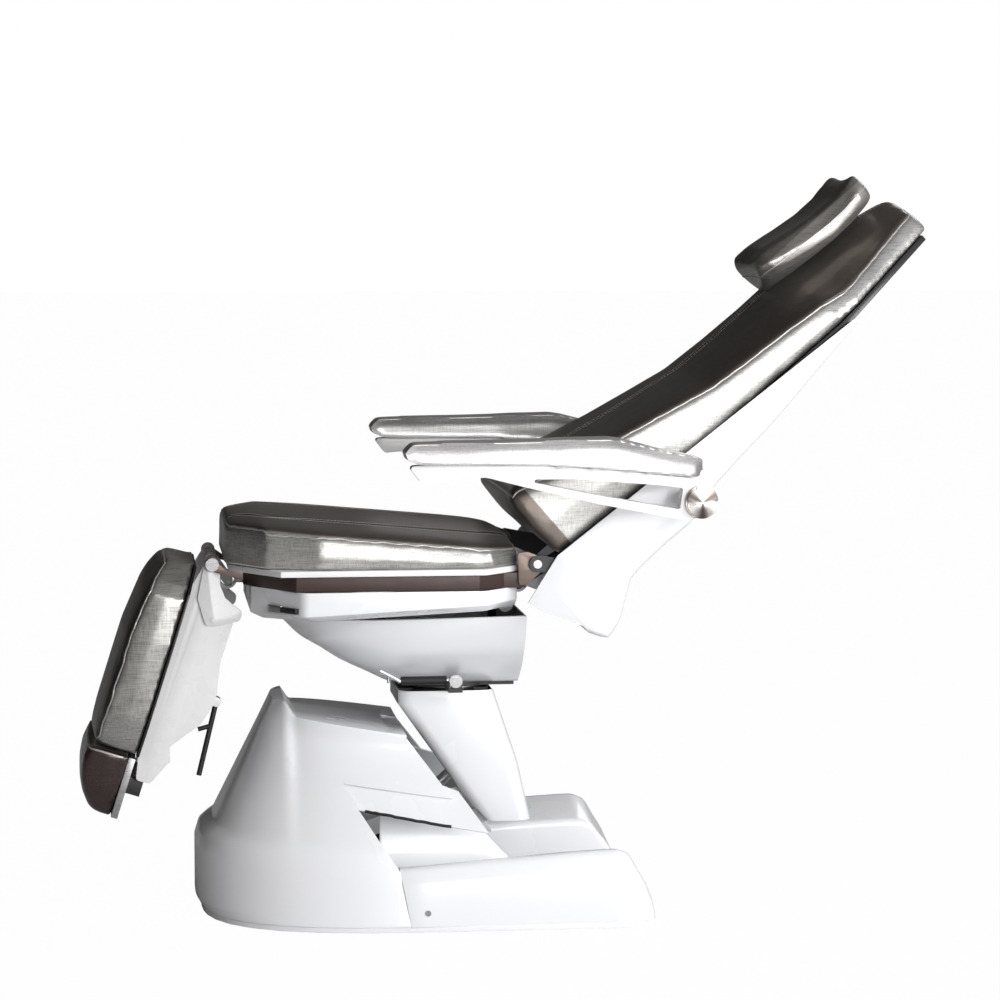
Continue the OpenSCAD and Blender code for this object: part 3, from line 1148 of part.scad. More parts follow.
module leg_carrier() color("white") in_leg() {
    difference() {
        union() {
            pair() across(plate_t, leg_plate_y + plate_t / 2) {
                circle(leg_ear_r);
                polygon(rounded(by_shares([for (i = [len(carrier_share) - 1:-1:0]) carrier_share[i]], leg_l, leg_t),
                    carrier_r, 3));
            }
            for (g = guide_at)
                wide_slab(g, leg_plate_y + eps, guide_z);
            pin_at(tie_at, 2 * tie_r, 2 * leg_plate_y + eps);
            pin_at([0, 0], 2 * leg_ear_r - side_gap, 2 * leg_plate_y + eps);
            for (s = [-1, 1])
                across(lug_t, -handle_y + s * (handle_lug_y + lug_t / 2)) bar_outline(tie_at, handle_at, tie_r - side_gap);
            for (s = [-1, 1])
                across(lug_t, spring_y + s * (rod_lug_y + lug_t / 2)) bar_outline([0, 0], spring_crank_at, tie_r);
        }
        pair() pin_at([0, 0], hinge_pin_d + 2 * run_gap, 2 * plate_t + seat_gap, leg_plate_y + plate_t / 2);
        pair() translate([-2 * leg_l, slide_rod_y, slide_rod_h]) rotate([0, 90, 0])
            cylinder(d = slide_rod_d + 2 * run_gap, h = 4 * leg_l);
    }
    pin_at(handle_at, thin_pin_d, 2 * handle_lug_y + lug_t, -handle_y);
    pin_at(spring_crank_at, thin_pin_d, 2 * rod_lug_y + lug_t, spring_y);
}
link_share = [[0.0355, 0.0789], [-0.0414, 0.1447], [-0.1834, 0.0789], [-0.3018, -0.2632],
    [-0.2899, -0.5], [-0.2308, -0.9737], [-0.1834, -0.9474], [-0.142, -0.5],
    [-0.0888, -0.3158], [0.0118, -0.1579]];
link_r = 8;
link_bolt_at = [-90, -30];
link_bolt_r = 5;
module leg_link_plates() color("white") in_leg() pair() {
    difference() {
        across(plate_t, leg_link_y + plate_t / 2) {
            circle(leg_ear_r);
            polygon(rounded(by_shares([for (i = [len(link_share) - 1:-1:0]) link_share[i]], leg_l, leg_t), link_r, 3));
        }
        pin_at([0, 0], hinge_pin_d + 2 * run_gap, 4 * plate_t, leg_link_y);
    }
    pin_at(link_bolt_at, 2 * link_bolt_r, 2 * side_gap, leg_link_y + plate_t);
}
leg_board_z = [22, 26];
leg_board_x = [-343, -14];
leg_top_gap = 8;
leg_end_u = leg_l + 7;
leg_width_share = [[0, 0.57], [0.14, 0.985], [0.42, 1], [0.8, 0.97], [1, 0.855]];
leg_sides_x = [-leg_end_u, -290, -148, -55, -leg_top_gap];
module leg_board() color("black") in_leg() translate([0, 0, leg_board_z[0]]) linear_extrude(leg_board_z[1] - leg_board_z[0]) {
    u = concat([leg_board_x[0]], [for (i = [1:3]) leg_sides_x[i]], [leg_board_x[1]]);
    w = [for (x = u) leg_half_w * lookup((-x - leg_top_gap) / (leg_end_u - leg_top_gap), leg_width_share) - board_in];
    polygon(concat([for (i = [0:4]) [u[i], -w[i]]], [for (i = [4:-1:0]) [u[i], w[i]]]));
}
leg_cushion_low = 27;
leg_high_share = [[0, 0.66], [0.14, 0.87], [0.42, 1], [1, 1]];
leg_mids = [0, 0.14, 0.3, 0.45, 0.6, 0.75, 0.86, 0.94, 1];
leg_crown = 9;
leg_r = 18;
module leg_cushion() color("silver")
    loft([for (u = cushion_places(-leg_end_u, -leg_top_gap, leg_r, leg_mids))
        let (s = (-u - leg_top_gap) / (leg_end_u - leg_top_gap),
            d = end_draw(min(u + leg_end_u, -leg_top_gap - u), leg_r / 2))
        cushion_ring(90 - leg_tilt, leg_hinge, u, leg_cushion_low, leg_cushion_low + leg_t * lookup(s, leg_high_share) - d,
            leg_half_w * lookup(s, leg_width_share) - d, leg_crown, leg_r, 0, 0)]);

// Gas spring of the legrest
spring_tube_r = 10.5;
spring_rod_r = 6;
spring_tube_l = 140;
spring_rod_start = 44;
spring_eye_r = 11.5;
spring_eye_out = 16;
module gas_spring_tube() color("black")
    actuator_tube(spring_foot_pin, spring_head_pin, spring_tube_r, rod_eye_w, small_pin_d, spring_rod_r,
        spring_tube_l, spring_y);
module gas_spring_rod() color("silver")
    actuator_rod(spring_foot_pin, spring_head_pin, spring_rod_r, spring_rod_start, spring_eye_r, spring_eye_out,
        rod_eye_w, spring_y);

// Foot section, sliding in the legrest
foot_plate_x = [-455, -350];
foot_plate_z = [26, 37];
foot_plate_y = 150;
foot_block_x = [-415, -388];
foot_block_y = 112;
module foot_slide() color("silver") in_leg() {
    wide_slab(foot_plate_x, foot_plate_y, foot_plate_z);
    wide_slab(foot_block_x, foot_block_y, [0, foot_plate_z[0] + side_gap]);
    pair() translate([foot_block_x[1] - side_gap, slide_rod_y, slide_rod_h]) rotate([0, 90, 0])
        cylinder(d = slide_rod_d, h = slide_rod_x[1] - foot_block_x[1]);
}
foot_start = 346;
foot_low = 37.3;
foot_high_share = [[0, 0.9342], [0.193, 0.9737], [0.4386, 0.9211], [0.6491, 0.8158], [0.8333, 0.6579],
    [0.9649, 0.4737], [1.0263, 0.2895]];
foot_mids = [0, 0.2, 0.42, 0.66, 0.85, 1];
foot_half_w = 162;
foot_width_share = [[0, 1], [0.6, 0.96], [1, 0.8]];
foot_crown = 6;
foot_r = 12;
module foot_cushion() color("saddlebrown") {
    far = foot_start + foot_l;
    loft([for (u = cushion_places(-far, -foot_start, foot_r, foot_mids))
        let (s = (-u - foot_start) / foot_l, d = end_draw(min(u + far, -foot_start - u), foot_r / 2))
        cushion_ring(90 - leg_tilt, leg_hinge, u, foot_low, foot_low + leg_t * lookup(s, foot_high_share) - d,
            foot_half_w * lookup(s, foot_width_share) - d, foot_crown * (1 - s), foot_r * 1.2, 0, 0)]);
}
handle_d = 9;
handle_hub_d = 16;
handle_turn = 184;
hook_turn = 62;
hook_l = 22;
module release_handle() color("black") in_leg() difference() {
    union() {
        pin_at(handle_at, handle_hub_d, 2 * (handle_lug_y - side_gap), -handle_y);
        translate([handle_at[0], -handle_y, handle_at[1]]) rotate([0, 90 - handle_turn, 0]) {
            cylinder(d = handle_d, h = release_l);
            translate([0, 0, release_l / 3]) rotate([0, hook_turn, 0]) cylinder(d = handle_d - side_gap, h = hook_l);
        }
    }
    pin_at(handle_at, thin_pin_d + 2 * run_gap, 6 * handle_lug_y, -handle_y);
}

placed() base_frame();
placed() base_plinth();
placed() front_hood();
placed() side_shroud_left();
placed() side_shroud_right();
placed() rear_deck_cover();
placed() cover_screws();
placed() levelling_feet();
placed() base_pivot_pins();
placed() control_box();
placed() mains_inlet();
placed() lower_lift_arm();
placed() upper_lift_arm();
placed() lift_actuator_tube();
placed() lift_actuator_rod();
placed() column_frame();
placed() column_cover();
placed() column_pivot_pins();
placed() swivel_bearing_ring();
placed() swivel_plate();
placed() bowl_cover();
placed() swivel_lever();
placed() swivel_lever_grip();
placed() swivel_lever_knob();
placed() tilt_actuator_tube();
placed() tilt_actuator_rod();
placed() tilt_pins();
placed() seat_frame();
placed() seat_tray();
placed() seat_board();
placed() seat_cushion();
placed() leg_hinge_ears();
placed() leg_hinge_pins();
placed() back_hinge_brackets();
placed() back_hinge_pins();
placed() latch_lever();
placed() latch_grip();
placed() back_frame();
placed() back_board();
placed() back_cushion();
placed() back_shell();
placed() armrest_shaft();
placed() back_actuator_tube();
placed() back_actuator_rod();
placed() armrest_frame_left();
placed() armrest_frame_right();
placed() armrest_pad_left();
placed() armrest_pad_right();
placed() armrest_knob_left();
placed() armrest_knob_right();
placed() headrest_pillow();
placed() leg_carrier();
placed() leg_link_plates();
placed() leg_board();
placed() leg_cushion();
placed() gas_spring_tube();
placed() gas_spring_rod();
placed() foot_slide();
placed() foot_cushion();
placed() release_handle();
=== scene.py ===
import json
import math

import bmesh
import bpy
import numpy as np
from mathutils import Matrix, Vector, kdtree
from mathutils.bvhtree import BVHTree

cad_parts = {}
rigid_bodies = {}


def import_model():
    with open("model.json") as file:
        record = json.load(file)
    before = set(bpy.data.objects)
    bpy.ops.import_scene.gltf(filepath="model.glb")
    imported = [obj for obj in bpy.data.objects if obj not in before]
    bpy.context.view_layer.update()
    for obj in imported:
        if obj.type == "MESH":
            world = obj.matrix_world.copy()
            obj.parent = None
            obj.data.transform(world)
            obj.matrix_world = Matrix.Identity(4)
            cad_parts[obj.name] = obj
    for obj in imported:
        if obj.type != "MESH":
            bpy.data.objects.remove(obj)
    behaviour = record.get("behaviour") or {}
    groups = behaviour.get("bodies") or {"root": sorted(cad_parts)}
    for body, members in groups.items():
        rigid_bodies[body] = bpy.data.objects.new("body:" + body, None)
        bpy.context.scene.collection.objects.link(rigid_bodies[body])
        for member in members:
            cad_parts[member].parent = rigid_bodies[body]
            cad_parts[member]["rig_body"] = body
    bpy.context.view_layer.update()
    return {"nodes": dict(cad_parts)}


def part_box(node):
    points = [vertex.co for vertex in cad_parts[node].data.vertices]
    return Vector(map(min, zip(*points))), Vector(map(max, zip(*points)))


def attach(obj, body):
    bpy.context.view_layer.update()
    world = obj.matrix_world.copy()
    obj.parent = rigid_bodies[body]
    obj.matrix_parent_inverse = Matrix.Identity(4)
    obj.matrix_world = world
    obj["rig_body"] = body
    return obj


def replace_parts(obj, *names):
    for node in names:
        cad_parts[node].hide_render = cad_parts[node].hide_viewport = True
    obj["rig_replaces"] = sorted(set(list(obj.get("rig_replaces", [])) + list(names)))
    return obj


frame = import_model()
scene = bpy.context.scene

# Places and measures
# The chair's own measures are in millimetres, with X = 0 at the swivel axis and the head end at +X.
MM = 0.001
MIDDLE_X = 97.3618
BACK_HINGE, BACK_ANGLE = (128.0, 612.0), math.radians(41.0)
LEG_HINGE, LEG_ANGLE = (-408.0, 606.0), math.radians(72.4)
HALF_W, TOE, LEG_REACH, PLINTH = 300.0, 438.0, 324.0, 16.0
HOOD_H, HOOD_TOP, HOOD_TOP_W = 343.0, 367.0, 166.0
CREST, CHANNEL = 137.0, 165.0
SEAT_HALF_W, BACK_HALF_W, LEG_HALF_W, SHELL_HALF_W = 290, 250, 192, 259
SEAT_BASE = 608.3
DECK_FRONT, DECK_LEAN = -87.7, 0.191
BLOCK_TOP, BLOCK_END = 25.9, -386
# How far back from the column's front the painted shade band reaches, in mm
COLUMN_SHADE_DEPTH = 4


def upright(points):
    """Chair millimetres to the frame's metres."""
    p = np.asarray(points, float).reshape(-1, 3)
    return (p - [MIDDLE_X, 0, 0]) * MM


def tilted(at, angle, points):
    """Points along, across and above a tilted section, to the frame's metres."""
    p = np.asarray(points, float).reshape(-1, 3)
    c, s = math.cos(angle), math.sin(angle)
    along, above = p[:, 0], p[:, 2]
    return upright(np.column_stack([at[0] + along * c - above * s, p[:, 1], at[1] + along * s + above * c]))


def on_back(points):
    return tilted(BACK_HINGE, BACK_ANGLE, points)


def on_leg(points):
    return tilted(LEG_HINGE, LEG_ANGLE, points)


def straight(x, table):
    return float(np.interp(x, [t[0] for t in table], [t[1] for t in table]))


def flowing(x, table):
    """Reads a table of places along a soft curve that never swings past them."""
    xs, ys = np.array([t[0] for t in table], float), np.array([t[1] for t in table], float)
    h, d = np.diff(xs), np.diff(ys) / np.diff(xs)
    m = np.zeros(len(xs))
    for i in range(1, len(xs) - 1):
        if d[i - 1] * d[i] > 0:
            a, b = 2 * h[i] + h[i - 1], h[i] + 2 * h[i - 1]
            m[i] = (a + b) / (a / d[i - 1] + b / d[i])
    m[0], m[-1] = d[0], d[-1]
    x = min(max(x, xs[0]), xs[-1])
    i = min(int(np.searchsorted(xs, x, "right")) - 1, len(h) - 1)
    t = (x - xs[i]) / h[i]
    return float((2 * t**3 - 3 * t**2 + 1) * ys[i] + (t**3 - 2 * t**2 + t) * h[i] * m[i]
                 + (3 * t**2 - 2 * t**3) * ys[i + 1] + (t**3 - t**2) * h[i] * m[i + 1])


# Camera and studio
def camera():
    data = bpy.data.cameras.new("Camera")
    data.lens, data.sensor_width, data.clip_end = 115.2, 36.0, 100.0
    cam = bpy.data.objects.new("Camera", data)
    cam.location = (-0.64866, -5.4958, 1.1576)
    cam.rotation_euler = (math.radians(85.26), 0, math.radians(-6.7))
    scene.collection.objects.link(cam)
    scene.camera = cam


def linear(code):
    """An sRGB hex colour as the linear numbers a shader takes."""
    parts = [int(code[i:i + 2], 16) / 255 for i in (1, 3, 5)]
    return tuple(c / 12.92 if c <= 0.04045 else ((c + 0.055) / 1.055) ** 2.4 for c in parts) + (1.0,)


def add(tree, kind, links=None, **settings):
    """Adds one node: settings by socket or property name, links as input to (node, output)."""
    n = tree.nodes.new(kind)
    for key, value in settings.items():
        name = key.replace("_", " ")
        found = [s for s in n.inputs if s.name.lower() == name.lower() and s.enabled]
        if hasattr(n, key) and not found:
            setattr(n, key, value)
        elif found:
            found[0].default_value = value
        else:
            raise KeyError(f"{kind}: {key}")
    for key, (other, output) in (links or {}).items():
        name = key.replace("_", " ")
        to = [s for s in n.inputs if s.name.lower() == name.lower() and s.enabled][0]
        tree.links.new(other.outputs[output], to)
    return n


def lamp(name, place, target, size, power, colour="#FFFFFF"):
    data = bpy.data.lights.new(name, "AREA")
    data.shape, data.size, data.size_y = "RECTANGLE", size[0], size[1]
    data.energy, data.color = power, linear(colour)[:3]
    o = bpy.data.objects.new(name, data)
    o.location = place
    o.rotation_euler = (Vector(target) - Vector(place)).to_track_quat("-Z", "Y").to_euler()
    scene.collection.objects.link(o)


def studio():
    """A pale ground, a big front softbox and a dim room, so that sides shine and tops stay deep."""
    world = bpy.data.worlds.new("studio")
    scene.world = world
    world.use_nodes = True
    t = world.node_tree
    t.nodes.clear()
    where = add(t, "ShaderNodeTexCoord")
    towards = add(t, "ShaderNodeVectorMath", {}, operation="DOT_PRODUCT")
    t.links.new(where.outputs["Generated"], towards.inputs[0])
    towards.inputs[1].default_value = (-0.78, 0.6, -0.15)
    ahead = add(t, "ShaderNodeMapRange", {"Value": (towards, "Value")}, From_Min=-1.0, From_Max=0.55)
    ramp = add(t, "ShaderNodeValToRGB", {"Fac": (ahead, "Result")})
    ramp.color_ramp.elements[0].color = linear("#F2F2F4")
    ramp.color_ramp.elements[1].color = linear("#2E2B29")
    ramp.color_ramp.elements.new(0.45).color = linear("#8A8784")
    sight = add(t, "ShaderNodeLightPath")
    room = add(t, "ShaderNodeBackground", {"Color": (ramp, "Color")}, Strength=0.8)
    white = add(t, "ShaderNodeBackground", Color=linear("#FFFFFF"), Strength=1.0)
    mix = add(t, "ShaderNodeMixShader", {"Fac": (sight, "Is Camera Ray")})
    t.links.new(room.outputs[0], mix.inputs[1])
    t.links.new(white.outputs[0], mix.inputs[2])
    add(t, "ShaderNodeOutputWorld", {"Surface": (mix, "Shader")})
    lamp("front_softbox", (1.3, -4.0, 1.3), (0.05, 0, 0.6), (3.0, 2.0), 120)
    lamp("side_softbox", (3.2, -2.4, 1.6), (0.1, 0, 0.6), (1.4, 1.6), 55)
    lamp("back_softbox", (2.6, 3.4, 3.4), (0.2, 0, 0.7), (2.0, 1.4), 25)
    me = bpy.data.meshes.new("floor")
    me.from_pydata([(-30, -12, 0), (30, -12, 0), (30, 60, 0), (-30, 60, 0)], [], [(0, 1, 2, 3)])
    floor = bpy.data.objects.new("floor", me)
    scene.collection.objects.link(floor)
    me.materials.append(plain_paper())
    scene.view_settings.view_transform = "Standard"


def surface(name, **values):
    """A material with its shader; values go straight on the shader's own sockets."""
    m = bpy.data.materials.new(name)
    m.use_nodes = True
    m.node_tree.nodes.clear()
    shader = add(m.node_tree, "ShaderNodeBsdfPrincipled", **values)
    add(m.node_tree, "ShaderNodeOutputMaterial", {"Surface": (shader, "BSDF")})
    return m, m.node_tree, shader


def join(tree, a, output, b, socket):
    tree.links.new(a.outputs[output], b.inputs[socket])


def ranged(tree, source, output, given, wanted):
    """Maps a value from one span to another."""
    return add(tree, "ShaderNodeMapRange", {"Value": (source, output)}, From_Min=given[0], From_Max=given[1],
               To_Min=wanted[0], To_Max=wanted[1])


def bumped(tree, source, output, strength, height, under=None):
    """Relief of a given height in metres, laid over another one where under is set."""
    links = {"Height": (source, output)}
    if under:
        links["Normal"] = (under, "Normal")
    return add(tree, "ShaderNodeBump", links, Strength=strength, Distance=height)


# Materials
def plain_paper():
    # Matt seamless studio paper: a pale, even ground.
    m, t, s = surface("studio_paper", Base_Color=linear("#D8D8D9"), Roughness=0.95, Specular_IOR_Level=0.0)
    grain = add(t, "ShaderNodeTexNoise", Scale=40.0, Detail=3.0)
    at = add(t, "ShaderNodeTexCoord")
    join(t, at, "Object", grain, "Vector")
    bump = add(t, "ShaderNodeBump", {"Height": (grain, "Factor" if "Factor" in grain.outputs else "Fac")},
               Strength=0.02, Distance=0.001)
    join(t, bump, "Normal", s, "Normal")
    # Seen by the camera it is burnt out almost to white, as a lit cyclorama is; it lights the chair normally.
    sight = add(t, "ShaderNodeLightPath")
    glow = add(t, "ShaderNodeEmission", Color=linear("#FFFFFF"), Strength=1.0)
    burnt = add(t, "ShaderNodeMath", {"Value": (sight, "Is Camera Ray")}, operation="MULTIPLY")
    burnt.inputs[1].default_value = 0.985
    mix = add(t, "ShaderNodeMixShader", {"Fac": (burnt, "Value")})
    t.links.new(s.outputs[0], mix.inputs[1])
    t.links.new(glow.outputs[0], mix.inputs[2])
    end = [n for n in t.nodes if n.type == "OUTPUT_MATERIAL"][0]
    t.links.new(mix.outputs[0], end.inputs["Surface"])
    return m


def noise_of(t, at, scale, detail=2.0, roughness=0.5, stretch=None):
    n = add(t, "ShaderNodeTexNoise", Scale=scale, Detail=detail, Roughness=roughness)
    if stretch:
        scales, turn = stretch
        turned = add(t, "ShaderNodeMapping", {"Vector": (at, "Object")}, Scale=scales, Rotation=turn)
        join(t, turned, "Vector", n, "Vector")
    else:
        join(t, at, "Object", n, "Vector")
    return n


def pearl_leather(name, side, top, dark, rough, metal, tilt=0.0, coat=0.15):
    # Polyurethane leather with a pearl foil: pebbled 1.6 mm grain, brushed streaks that catch the light,
    # darker in the creases and softly blotched where it is pulled over the foam.
    m, t, s = surface(name, Metallic=metal, Roughness=rough, Coat_Weight=coat, Coat_Roughness=0.25,
                      Sheen_Weight=0.08, Sheen_Roughness=0.4)
    at = add(t, "ShaderNodeTexCoord")
    streaks = noise_of(t, at, 1.0, 3.0, 0.6, ((760.0, 760.0, 30.0), (0, tilt, 0)))
    cloth = noise_of(t, at, 1.0, 2.0, 0.5, ((34.0, 34.0, 900.0), (0, tilt, 0)))
    blotch = noise_of(t, at, 11.0, 3.0)
    # The side colour is lightened as painted light, where the front softbox lights the sides; the top colour
    # is darkened as painted shade and painted reflection of the dim room, laid on the top panel the attribute
    # marks.
    panel = add(t, "ShaderNodeAttribute", attribute_name="shaded_top_panel")
    edge = ranged(t, panel, "Fac", (-0.0012, 0.0012), (0.0, 1.0))
    base = add(t, "ShaderNodeMix", data_type="RGBA")
    base.inputs[6].default_value, base.inputs[7].default_value = linear(side), linear(top)
    t.links.new(edge.outputs["Result"], base.inputs[0])
    both = add(t, "ShaderNodeMath", operation="MULTIPLY")
    t.links.new(streaks.outputs[0], both.inputs[0])
    t.links.new(cloth.outputs[0], both.inputs[1])
    lined = ranged(t, both, "Value", (0.16, 0.4), (0.0, 0.58))
    streaked = add(t, "ShaderNodeMix", data_type="RGBA", blend_type="MIX")
    streaked.inputs[7].default_value = linear(dark)
    t.links.new(lined.outputs["Result"], streaked.inputs[0])
    t.links.new(base.outputs[2], streaked.inputs[6])
    soft = ranged(t, blotch, 0, (0.35, 0.7), (0.0, 0.22))
    aged = add(t, "ShaderNodeMix", data_type="RGBA", blend_type="MULTIPLY")
    aged.inputs[7].default_value = linear("#8B8985")
    t.links.new(soft.outputs["Result"], aged.inputs[0])
    t.links.new(streaked.outputs[2], aged.inputs[6])
    t.links.new(aged.outputs[2], s.inputs["Base Color"])
    pebble = add(t, "ShaderNodeTexVoronoi", feature="SMOOTH_F1", Scale=620.0, Smoothness=0.6)
    join(t, at, "Object", pebble, "Vector")
    wrinkle = noise_of(t, at, 26.0, 4.0, 0.55)
    fold = bumped(t, wrinkle, 0, 0.25, 0.0022)
    grain = bumped(t, pebble, 0, 0.22, 0.0004, fold)
    lines = bumped(t, both, "Value", 0.3, 0.0005, grain)
    join(t, lines, "Normal", s, "Normal")
    return m


def moulded_abs(name, colour, rough=0.2, coat=0.5):
    # Gloss-painted ABS covers: a clear hard shine with the faint ripple of a large moulding, cleaner on the
    # faces and a breath duller in broad patches where it is wiped.
    m, t, s = surface(name, Base_Color=linear(colour), IOR=1.53, Coat_Weight=coat, Coat_Roughness=0.06,
                      Specular_IOR_Level=0.5)
    at = add(t, "ShaderNodeTexCoord")
    wiped = noise_of(t, at, 7.0, 3.0)
    dull = ranged(t, wiped, 0, (0.3, 0.75), (rough, rough + 0.1))
    join(t, dull, "Result", s, "Roughness")
    ripple = noise_of(t, at, 16.0, 1.0)
    peel = noise_of(t, at, 420.0, 1.0)
    wave = bumped(t, ripple, 0, 0.06, 0.002)
    skin = bumped(t, peel, 0, 0.03, 0.0002, wave)
    join(t, skin, "Normal", s, "Normal")
    return m


def powder_coat(name, colour, rough, metal=0.0, coat=0.0):
    # Powder-coated steel: fine orange peel about 1 mm across and a slightly uneven sheen.
    m, t, s = surface(name, Base_Color=linear(colour), Metallic=metal, Coat_Weight=coat, Coat_Roughness=0.15)
    at = add(t, "ShaderNodeTexCoord")
    peel = noise_of(t, at, 900.0, 2.0)
    worn = noise_of(t, at, 30.0, 3.0)
    sheen = ranged(t, worn, 0, (0.3, 0.7), (rough - 0.06, rough + 0.08))
    join(t, sheen, "Result", s, "Roughness")
    skin = bumped(t, peel, 0, 0.12, 0.0003)
    join(t, skin, "Normal", s, "Normal")
    return m


def brushed_steel(name, colour, rough, stretch):
    # Ground and brushed steel: hair-fine lines along the part, brighter where they lie together.
    m, t, s = surface(name, Base_Color=linear(colour), Metallic=1.0, Anisotropic=0.4)
    at = add(t, "ShaderNodeTexCoord")
    hair = noise_of(t, at, 1.0, 3.0, 0.6, (stretch, (0, 0, 0)))
    sheen = ranged(t, hair, 0, (0.3, 0.7), (rough - 0.08, rough + 0.1))
    join(t, sheen, "Result", s, "Roughness")
    scratch = bumped(t, hair, 0, 0.1, 0.0002)
    join(t, scratch, "Normal", s, "Normal")
    return m


def turned_metal(name, colour, centre):
    # Lathe-turned aluminium: rings 1.2 mm apart round the axle as a fine relief, and lighter wedges round it
    # in the colour, a painted highlight of the light a turned face gathers.
    m, t, s = surface(name, Base_Color=linear(colour), Metallic=1.0, Roughness=0.26, Anisotropic=0.75)
    at = add(t, "ShaderNodeTexCoord")
    moved = add(t, "ShaderNodeMapping", {"Vector": (at, "Object")}, Location=(-centre[0], 0.0, -centre[1]))
    split = add(t, "ShaderNodeSeparateXYZ", {"Vector": (moved, "Vector")})
    flat = add(t, "ShaderNodeCombineXYZ", {"X": (split, "X"), "Y": (split, "Z")})
    ring = add(t, "ShaderNodeTexGradient", {"Vector": (flat, "Vector")}, gradient_type="RADIAL")
    highlight_wedge = add(t, "ShaderNodeMath", {}, operation="MULTIPLY")
    t.links.new(ring.outputs["Fac"], highlight_wedge.inputs[0])
    highlight_wedge.inputs[1].default_value = 6.0 * math.pi
    wave = add(t, "ShaderNodeMath", {}, operation="SINE")
    t.links.new(highlight_wedge.outputs[0], wave.inputs[0])
    far = add(t, "ShaderNodeVectorMath", {}, operation="LENGTH")
    t.links.new(flat.outputs[0], far.inputs[0])
    rings = add(t, "ShaderNodeMath", {}, operation="MULTIPLY")
    t.links.new(far.outputs["Value"], rings.inputs[0])
    rings.inputs[1].default_value = 5200.0
    lathe = add(t, "ShaderNodeMath", {}, operation="SINE")
    t.links.new(rings.outputs[0], lathe.inputs[0])
    # Three lighter wedges round the axle, towards #D8D2CE: painted highlight
    shine = ranged(t, wave, 0, (-1.0, 1.0), (0.0, 1.0))
    highlight_tone = add(t, "ShaderNodeMix", data_type="RGBA")
    highlight_tone.inputs[6].default_value, highlight_tone.inputs[7].default_value = linear(colour), linear("#D8D2CE")
    t.links.new(shine.outputs["Result"], highlight_tone.inputs[0])
    t.links.new(highlight_tone.outputs[2], s.inputs["Base Color"])
    cut = bumped(t, lathe, 0, 0.15, 0.0002)
    join(t, cut, "Normal", s, "Normal")
    return m


def rubber(name, colour, rough):
    # Moulded rubber and nylon: nearly black, with a fine matt texture that greys at grazing light.
    m, t, s = surface(name, Base_Color=linear(colour), IOR=1.5, Roughness=rough)
    at = add(t, "ShaderNodeTexCoord")
    fine = noise_of(t, at, 1300.0, 2.0)
    skin = bumped(t, fine, 0, 0.2, 0.0002)
    join(t, skin, "Normal", s, "Normal")
    return m


def lacquered_board(name, colour):
    # Lacquered plywood panel: even satin lacquer with the ply's grain barely telegraphing through.
    m, t, s = surface(name, Base_Color=linear(colour), Roughness=0.35, Coat_Weight=0.3, Coat_Roughness=0.2)
    at = add(t, "ShaderNodeTexCoord")
    grain = noise_of(t, at, 1.0, 3.0, 0.6, ((6.0, 160.0, 160.0), (0, 0, 0)))
    skin = bumped(t, grain, 0, 0.08, 0.0003)
    join(t, skin, "Normal", s, "Normal")
    return m


camera()
studio()
SHAFT = upright([(380.7, 0, 723.7)])[0]
FINISH = {
    # Every pearl leather: a side colour lightened as painted light and a top colour darkened as painted shade.
    "seat_leather": pearl_leather("pearl_leather_seat", "#D2D2CE", "#7D746D", "#635C57", 0.36, 0.85),
    "back_leather": pearl_leather("pearl_leather_back", "#D4D4D1", "#7D746D", "#635C57", 0.36, 0.85,
                                  BACK_ANGLE),
    "leg_leather": pearl_leather("pearl_leather_leg", "#CDCCC8", "#5F5B56", "#524F4B", 0.34, 0.85, LEG_ANGLE),
    "pillow_leather": pearl_leather("pearl_leather_pillow", "#B5B2AE", "#8B8782", "#6B6864", 0.32, 0.75,
                                    BACK_ANGLE),
    "pad_leather": pearl_leather("pearl_leather_pads", "#EDECEC", "#DAD8D8", "#95918F", 0.34, 0.6),
    # The legrest's front end in dark brown gloss: painted reflection of the dim room on a face turned away
    # from the lights
    "foot_end_painted_reflection": pearl_leather("gloss_leather_foot_painted_reflection", "#3A2B27", "#3A2B27", "#1C1311", 0.22, 0.2,
                                  LEG_ANGLE, 0.5),
    "piping": pearl_leather("pearl_leather_piping", "#D9D5D3", "#D9D5D3", "#8A8380", 0.3, 0.6),
    "white_cover": moulded_abs("moulded_abs_white", "#ECEDF0"),
    # Mid grey for the column's front face: painted shade
    "painted_shade_cover": moulded_abs("moulded_abs_painted_shade", "#5F5F62", 0.3, 0.2),
    "white_steel": powder_coat("powder_coat_white", "#DEDDDD", 0.28, 0.0, 0.4),
    "dark_steel": powder_coat("powder_coat_graphite", "#2B2A2C", 0.45),
    "bronze_steel": powder_coat("powder_coat_bronze", "#75675F", 0.36, 0.55),
    "brown_steel": powder_coat("powder_coat_brown", "#3D2E2B", 0.4, 0.2),
    "satin_steel": brushed_steel("brushed_steel", "#B9B7B8", 0.3, (30.0, 30.0, 900.0)),
    "knob_chrome": brushed_steel("polished_chrome", "#D6D6D8", 0.14, (200.0, 200.0, 200.0)),
    "knob_metal": turned_metal("turned_aluminium", "#4E4744", (SHAFT[0], SHAFT[2])),
    "black_plastic": rubber("moulded_nylon_black", "#1B1A1B", 0.42),
    "black_rubber": rubber("moulded_rubber_black", "#121112", 0.55),
    "white_board": lacquered_board("lacquered_board_white", "#EDEDEE"),
    "black_board": lacquered_board("lacquered_board_black", "#1A1819"),
    "thread": rubber("polyester_thread", "#C9C4C1", 0.6),
}


# Tools that make the pieces
def object_of(name, bm, material):
    me = bpy.data.meshes.new(name)
    bm.to_mesh(me)
    bm.free()
    o = bpy.data.objects.new(name, me)
    scene.collection.objects.link(o)
    me.materials.append(material)
    return o


